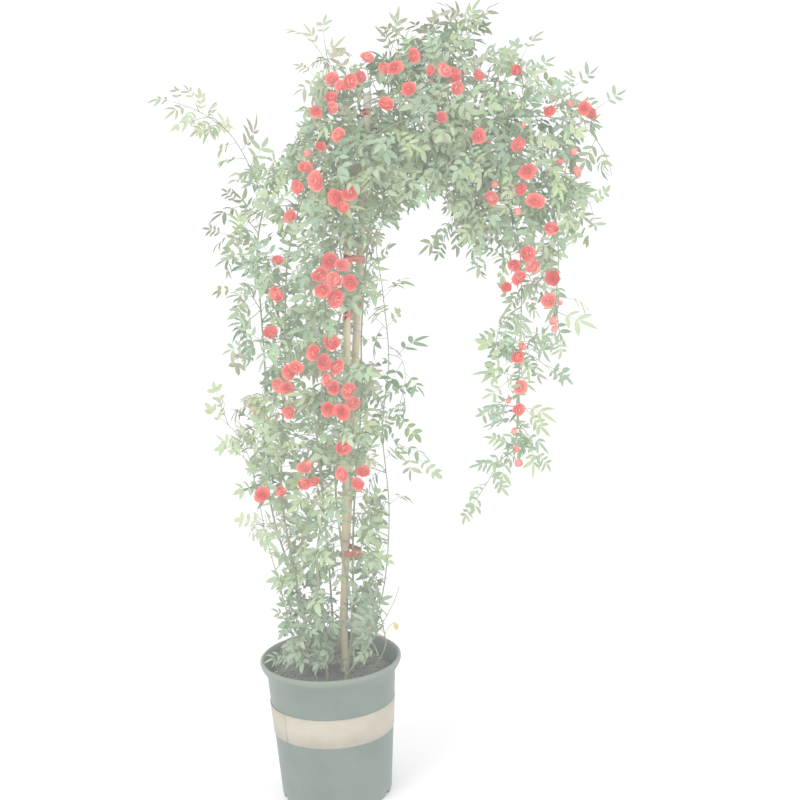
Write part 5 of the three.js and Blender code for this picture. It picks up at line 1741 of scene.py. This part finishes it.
def add_prickles(bm, line, keys):
    age = bm.verts.layers.float["age"]
    count = int(line.length() / (PRICKLE_EVERY * MM))
    for k in range(count):
        share = (k + draw(*keys, k)) * PRICKLE_EVERY * MM / line.length()
        root, tangent = line.at(share)
        out = (turned_round(tangent, 6.28 * draw(*keys, k, 2)) - tangent * 0.35).normalized()
        place = root + out * (line.thick + (line.thin - line.thick) * share + 1.4 * MM)
        turn = out.to_track_quat("Z", "Y").to_matrix().to_4x4()
        cone = bmesh.ops.create_cone(
            bm, cap_ends=True, segments=4, radius1=PRICKLE_RADIUS * MM, radius2=0, depth=PRICKLE_LONG * MM,
            matrix=Matrix.Translation(place) @ turn,
        )["verts"]
        for v in cone:
            v[age] = 0.5


print("prickles on the front cane:", int(plant["front_cane"][0].length() / (PRICKLE_EVERY * MM)))

# %% [markdown]
# ## A leaf that has turned
#
# Most roses carry a leaf that is about to drop. This one is a single yellow leaflet that hangs from a thin
# stalk, low on the right. It reuses `leaflet`, and a lime value past 1, which the leaf's finish turns yellow.

# %% Yellow leaf
YELLOW_STALK = [(87, -33, 268), (97, -37, 290), (107, -40, 299)]
YELLOW_LENGTH = 15
YELLOW_VALUES = {"tone": 0.8, "bronze": 0.0, "lime": 1.6, "hue": 0.0}


def add_dying_leaf(bm):
    """One small leaf on a thin stalk. It faces the front and hangs its tip."""
    stalk = Stem([metres(p) for p in YELLOW_STALK], 0.7 * MM, 0.5 * MM, 6 * MM)
    add_stem(bm, stalk, 5, 0.2, 0.4)
    end, _ = stalk.at(1.0)
    up = Vector((0.1, -1, 0.25)).normalized()
    down = square_to(Vector((0.25, 0, -1)), up)
    blade = bmesh.new()
    blade.loops.layers.uv.new("blade")
    leaflet(blade, Vector(), 0, 0, 1, 0.3, 0.4, 0.15, (5, 1, 1))
    add_copy(bm, as_mesh("dying_leaf", blade), leaf_matrix(end, down, up, YELLOW_LENGTH * MM), YELLOW_VALUES)


print("the yellow leaf's stalk starts", YELLOW_STALK[0][2], "mm up, on the young right cane")

# %% [markdown]
# ## Canes with all their leaves
#
# Each cane is one piece: its stem with prickles, its twigs and side shoots, and its leaves. They could be
# separate pieces, but a whole cane is what was modelled as one solid, and what a gardener would cut out.

# %% Canes and leaves
OLD_RADIUS = 3.3  # canes thicker than this at the foot have bark
leaf_count = 0
for index, (name, own) in enumerate(plant.items()):
    bm = bmesh.new()
    bm.loops.layers.uv.new("blade")
    for label in (*LEAF_VALUES, "age"):
        bm.verts.layers.float.new(label)
    old = CANES[name][0][0] > OLD_RADIUS
    add_stem(bm, own[0], 8, 0.9 if old else 0.1, 0.3 if old else 0.0)
    add_prickles(bm, own[0], (index, 77))
    for twig in own[1:]:
        add_stem(bm, twig, 6, 0.5, 0.1)
    for shoot in shoots[name]:
        add_stem(bm, shoot, 5, 0.2, 0.0)
    for i, line in enumerate(own):
        leaf_count += add_leaves(bm, line, "twig" if i else "stem", (index, i), name)
    for i, line in enumerate(shoots[name]):
        leaf_count += add_leaves(bm, line, "shoot", (index, 100 + i), name)
    if name == "young_right_cane":
        add_dying_leaf(bm)
    finish_piece(name + "_leafy", bm, [rose_cane, rose_leaf], [name])
print("leaves:", leaf_count, "triangles:", sum(made[name + "_leafy"] for name in plant), "most:",
      max(made[name + "_leafy"] for name in plant))

# %% [markdown]
# ## One bloom
#
# These are small double roses, about 25 mm across, with about two dozen petals. A petal is a patch of a round
# surface: it starts narrow at the calyx, widens as it rises, and its rim curls. So each starts as a small
# grid that is wrapped part of the way round the bloom, along a curve given by three places. The outer ring
# lies open, and each ring inside it stands more upright, down to the three petals that are still furled.

# %% Petals
OPEN_RINGS = [  # petals, half width in radians, and three places as [reach, height], in shares of the radius
    (6, 0.68, (0.12, -0.46), (0.86, -0.50), (0.94, 0.02)),
    (5, 0.78, (0.12, -0.42), (0.86, -0.34), (0.84, 0.28)),
    (5, 0.84, (0.10, -0.40), (0.74, -0.20), (0.62, 0.48)),
    (4, 1.00, (0.08, -0.36), (0.50, -0.05), (0.38, 0.62)),
    (3, 1.30, (0.05, -0.30), (0.28, 0.10), (0.15, 0.68)),
]
BUD_RINGS = [
    (5, 0.80, (0.16, -0.50), (1.20, -0.10), (0.22, 1.12)),
    (3, 1.30, (0.10, -0.40), (0.95, 0.10), (0.08, 1.15)),
]
HALF_OPEN_RINGS = [
    (5, 0.80, (0.14, -0.48), (1.05, -0.35), (0.84, 0.52)),
    (5, 0.85, (0.12, -0.44), (0.85, -0.15), (0.60, 0.66)),
    (4, 1.00, (0.08, -0.38), (0.58, 0.00), (0.36, 0.74)),
    (3, 1.40, (0.05, -0.30), (0.30, 0.10), (0.14, 0.74)),
]


def curve_at(places, t):
    """A place on a curve that starts at the first place, leaves towards the second and ends at the third."""
    (a, b), (c, d), (e, f) = places
    u = 1 - t
    return u * u * a + 2 * u * t * c + t * t * e, u * u * b + 2 * u * t * d + t * t * f


def petal(bm, turn, half, places, heart, curl, keys):
    """One petal, wrapped round the Z axis."""
    grid = bmesh.ops.create_grid(bm, x_segments=4, y_segments=4, size=1)["verts"]
    heart_mark, along_mark = bm.verts.layers.float["heart"], bm.verts.layers.float["along"]
    push = between(-0.16, 0.1, *keys, 1)
    lift = between(-0.08, 0.14, *keys, 2)
    for v in grid:
        across = v.co.x
        along = v.co.y * 0.5 + 0.5
        t = along * (1 - 0.16 * across * across * along)
        reach, height = curve_at(places, t)
        reach *= 1 + push + 0.05 * math.sin(5 * across + 9 * keys[0]) * along
        reach += curl * 0.10 * ease((along - 0.7) / 0.3)
        height += curl * (0.04 * across * across - 0.07 * ease((along - 0.75) / 0.25)) + (lift - push) * along
        angle = turn + across * half * (0.45 + 0.55 * math.sin(math.pi * min(1.0, 0.15 + 0.55 * along)))
        v[heart_mark] = heart
        v[along_mark] = along
        v.co = Vector((reach * math.cos(angle), reach * math.sin(angle), height))


print("petals of an open bloom:", sum(count for count, *_ in OPEN_RINGS))

# %% [markdown]
# ## Sepals and the whole bloom
#
# Under its petals a rose has a green cup with five narrow tips. The cup is a small ball, and each tip is a
# grid that narrows along its length. Six patterns are made: three open blooms, one that is half open and two
# buds, which differ in how far their sepals have opened.

# %% Bloom patterns
SEPALS = 5
SEPAL_TURN = 1.2566  # a fifth of a turn
CUP_AT = -0.55
CUP_RADIUS = 0.2


def sepals(bm, spread):
    """The green cup under a bloom, with its five narrow tips, which end at `spread`."""
    green = bmesh.ops.create_uvsphere(bm, u_segments=8, v_segments=5, radius=1)["verts"]
    for v in green:
        v.co = Vector((v.co.x * CUP_RADIUS, v.co.y * CUP_RADIUS, v.co.z * CUP_RADIUS + CUP_AT))
    for k in range(SEPALS):
        grid = bmesh.ops.create_grid(bm, x_segments=2, y_segments=3, size=1)["verts"]
        for v in grid:
            across = v.co.x
            along = v.co.y * 0.5 + 0.5
            reach, height = curve_at(((0.15, CUP_AT), (0.45, CUP_AT - 0.05), spread), along)
            angle = SEPAL_TURN * k + 0.2 + across * 0.42 * (1 - 0.92 * along)
            v.co = Vector((reach * math.cos(angle), reach * math.sin(angle), height - 0.03 * abs(across)))
        green += grid
    for face in {face for v in green for face in v.link_faces}:
        face.material_index = 1


def bloom_pattern(name, rings, curl, seed, sepal_tips):
    """A whole bloom of unit radius that faces +Z."""
    bm = bmesh.new()
    bm.verts.layers.float.new("heart")
    bm.verts.layers.float.new("along")
    for ring, (count, half, *places) in enumerate(rings):
        heart = ring / max(1, len(rings) - 1)
        for k in range(count):
            keys = (seed, ring, k)
            turn = 2 * math.pi * (k + 0.5 * (ring % 2) + between(-0.24, 0.24, *keys, 5)) / count
            petal(bm, turn, half, places, heart, curl * (1 - 0.8 * heart), keys)
    sepals(bm, sepal_tips)
    return as_mesh(name, bm)


open_blooms = [bloom_pattern(f"open_bloom_{k}", OPEN_RINGS, 1.0, 10 + k, (0.78, -0.40)) for k in range(3)]
half_open_blooms = [bloom_pattern("half_open_bloom", HALF_OPEN_RINGS, 0.8, 20, (0.7, -0.5))]
buds = [bloom_pattern(f"bud_{k}", BUD_RINGS, 0.0, 30 + k, (0.72, 0.45 - 0.6 * k)) for k in range(2)]
print("bloom patterns:", [len(mesh.polygons) for mesh in open_blooms + half_open_blooms + buds], "faces")

# %% [markdown]
# ## The petals' finish
#
# A petal is a warm coral red. Its inner rings are mixed slightly towards a warmer red, a faint painted shade,
# and each petal is painted deeper at its base, a painted shade where the petals overlap, and paler along its
# rim, a painted highlight. Each ring of petals carries how near the middle it is, each bloom how faded it is,
# and the material mixes its colour from them. Light goes through a real petal, so the heart of a rose isn't
# dark. The petals here are sheets with no thickness, so a faint glow of their own stands in for it.

# %% Petal finish
BLOOM_VALUES = ("heart", "along", "faded")
GLOW = 0.07

rose_petal, tree, shader = new_material("rose_petal", Roughness=0.62, Specular_IOR_Level=0.25)
tone, fine = drift(tree, object_place(tree), colour(247, 98, 92), colour(238, 80, 80), 60, 500, 0.25)
heart, along, faded = (mark(tree, label) for label in BLOOM_VALUES)
# faint painted shade: the inner rings lean slightly to a warmer red
tone = mix_colour(tree, rescale(tree, heart, 0.4, 1.0, 0.0, 0.3), tone, colour(246, 98, 86))
# painted shade: each petal is painted deeper red towards its base, where the petals overlap
tone = mix_colour(tree, rescale(tree, along, 0.7, 0.1, 0.0, 0.7), tone, colour(214, 52, 56))
# painted highlight: each petal is painted paler along its rim
tone = mix_colour(tree, rescale(tree, along, 0.72, 1.0, 0.0, 0.5), tone, colour(255, 158, 134))
tone = mix_colour(tree, scaled(tree, faded, 0.4), tone, colour(250, 176, 160))
tree.links.new(tone, shader.inputs["Base Color"])
tree.links.new(mix_colour(tree, 0.5, tone, colour(255, 150, 140)), shader.inputs["Emission Color"])
shader.inputs["Emission Strength"].default_value = GLOW
bump(tree, shader, fine, 0.2, 0.0004)
print("the petals' finish has", len(tree.nodes), "nodes")

# %% [markdown]
# ## Sprays of blooms
#
# A spray's stalk leaves the nearest cane or twig and parts into a pedicel for each bloom. The parting place is
# halfway between the cane and the middle of the blooms. Each bloom is a copy of a pattern, turned to face
# outwards and sized by its radius.

# %% Sprays
BUD_RADIUS = 9  # blooms up to this size are buds, in millimetres
HALF_OPEN_RADIUS = 10.2  # and up to this one, or where their draw says so, half open
HALF_OPEN_ABOVE = 0.86
CROWN_FROM = 1040  # height from which blooms are a little smaller
CROWN_SIZE = 0.92
LEAST_FRONT = 0.35  # how far a bloom turns away from its stalk at least
STALK_RADIUS = 1.2
PEDICEL_RADIUS = 0.8
CALYX_DEPTH = 0.62  # how far the pedicel's end is behind the bloom's middle, in its radii

every_line = [line for own in plant.values() for line in own]


def patterns_for(radius, keys):
    if radius <= BUD_RADIUS:
        return buds
    half_open = radius <= HALF_OPEN_RADIUS or draw(*keys, 4) > HALF_OPEN_ABOVE
    return half_open_blooms if half_open else open_blooms


def add_bloom(bm, hub, x, y, z, radius, keys):
    place = metres((x, y, z))
    size = radius * MM
    front = bloom_front(x, y, z)
    behind = (place - hub).normalized()
    axis = (front + behind * max(0, LEAST_FRONT - front.dot(behind))).normalized()
    sole = place - axis * CALYX_DEPTH * size
    pedicel = smooth_line([hub, (hub + sole) / 2 - axis * 2 * MM, sole], 4 * MM)
    tube(bm, pedicel, [PEDICEL_RADIUS * MM] * (len(pedicel) - 1) + [STALK_RADIUS * MM], 6, 1)
    turn = axis.to_track_quat("Z", "Y").to_matrix().to_4x4() @ Matrix.Rotation(6.28 * draw(*keys, 1), 4, "Z")
    high_up = CROWN_SIZE if z > CROWN_FROM else 1
    stretch = [between(0.84, 1.08, *keys, 5 + i) * size * high_up for i in range(3)]
    matrix = Matrix.Translation(place) @ turn @ Matrix.Diagonal((*stretch, 1))
    patterns = patterns_for(radius, keys)
    add_copy(bm, patterns[int(draw(*keys, 2) * len(patterns))], matrix, {"faded": draw(*keys, 3) ** 2})


for number, (name, spray) in enumerate(SPRAYS.items()):
    bm = bmesh.new()
    for label in BLOOM_VALUES:
        bm.verts.layers.float.new(label)
    middle = sum((metres(bloom[:3]) for bloom in spray), Vector()) / len(spray)
    root, _ = min((line.nearest(middle) for line in every_line), key=lambda found: found[1])
    hub = middle.lerp(root, 0.5)
    stalk = smooth_line([root, (root + hub) / 2 - UP * 2 * MM, hub], 5 * MM)
    tube(bm, stalk, [STALK_RADIUS * MM] * len(stalk), 6, 1)
    for x, y, z, radius in spray:
        add_bloom(bm, hub, x, y, z, radius, (number, x, z))
    finish_piece("roses_" + name, bm, [rose_petal, rose_leaf], ["blooms_" + name])
print("blooms:", sum(made["roses_" + name] for name in SPRAYS), "triangles")

# %% [markdown]
# ## The floor
#
# A large pale floor catches the pot's soft shadow. It isn't part of the plant, so it isn't attached to the
# plant's body.

# %% Floor
FLOOR_HALF = 6  # half its width, in metres
floor = bmesh.new()
bmesh.ops.create_grid(floor, x_segments=1, y_segments=1, size=FLOOR_HALF)
floor_paint, tree, shader = new_material("floor_paint", Roughness=0.9, Specular_IOR_Level=0.1)
tone, _ = drift(tree, object_place(tree), (0.93, 0.93, 0.93, 1), (0.91, 0.91, 0.915, 1), 2, 40, 0.1)
tree.links.new(tone, shader.inputs["Base Color"])
stage_floor = bpy.data.objects.new("floor", as_mesh("floor", floor))
stage_floor.data.materials.append(floor_paint)
scene.collection.objects.link(stage_floor)
print("floor:", 2 * FLOOR_HALF, "m across")

# %% [markdown]
# ## Sizes and the end
#
# The dressed plant must stay as large as its solids. The solids' box was printed at the start, and here the
# triangles are counted.

# %% Finish
print("triangles:", sum(made.values()), "largest piece:", max(made.values()))
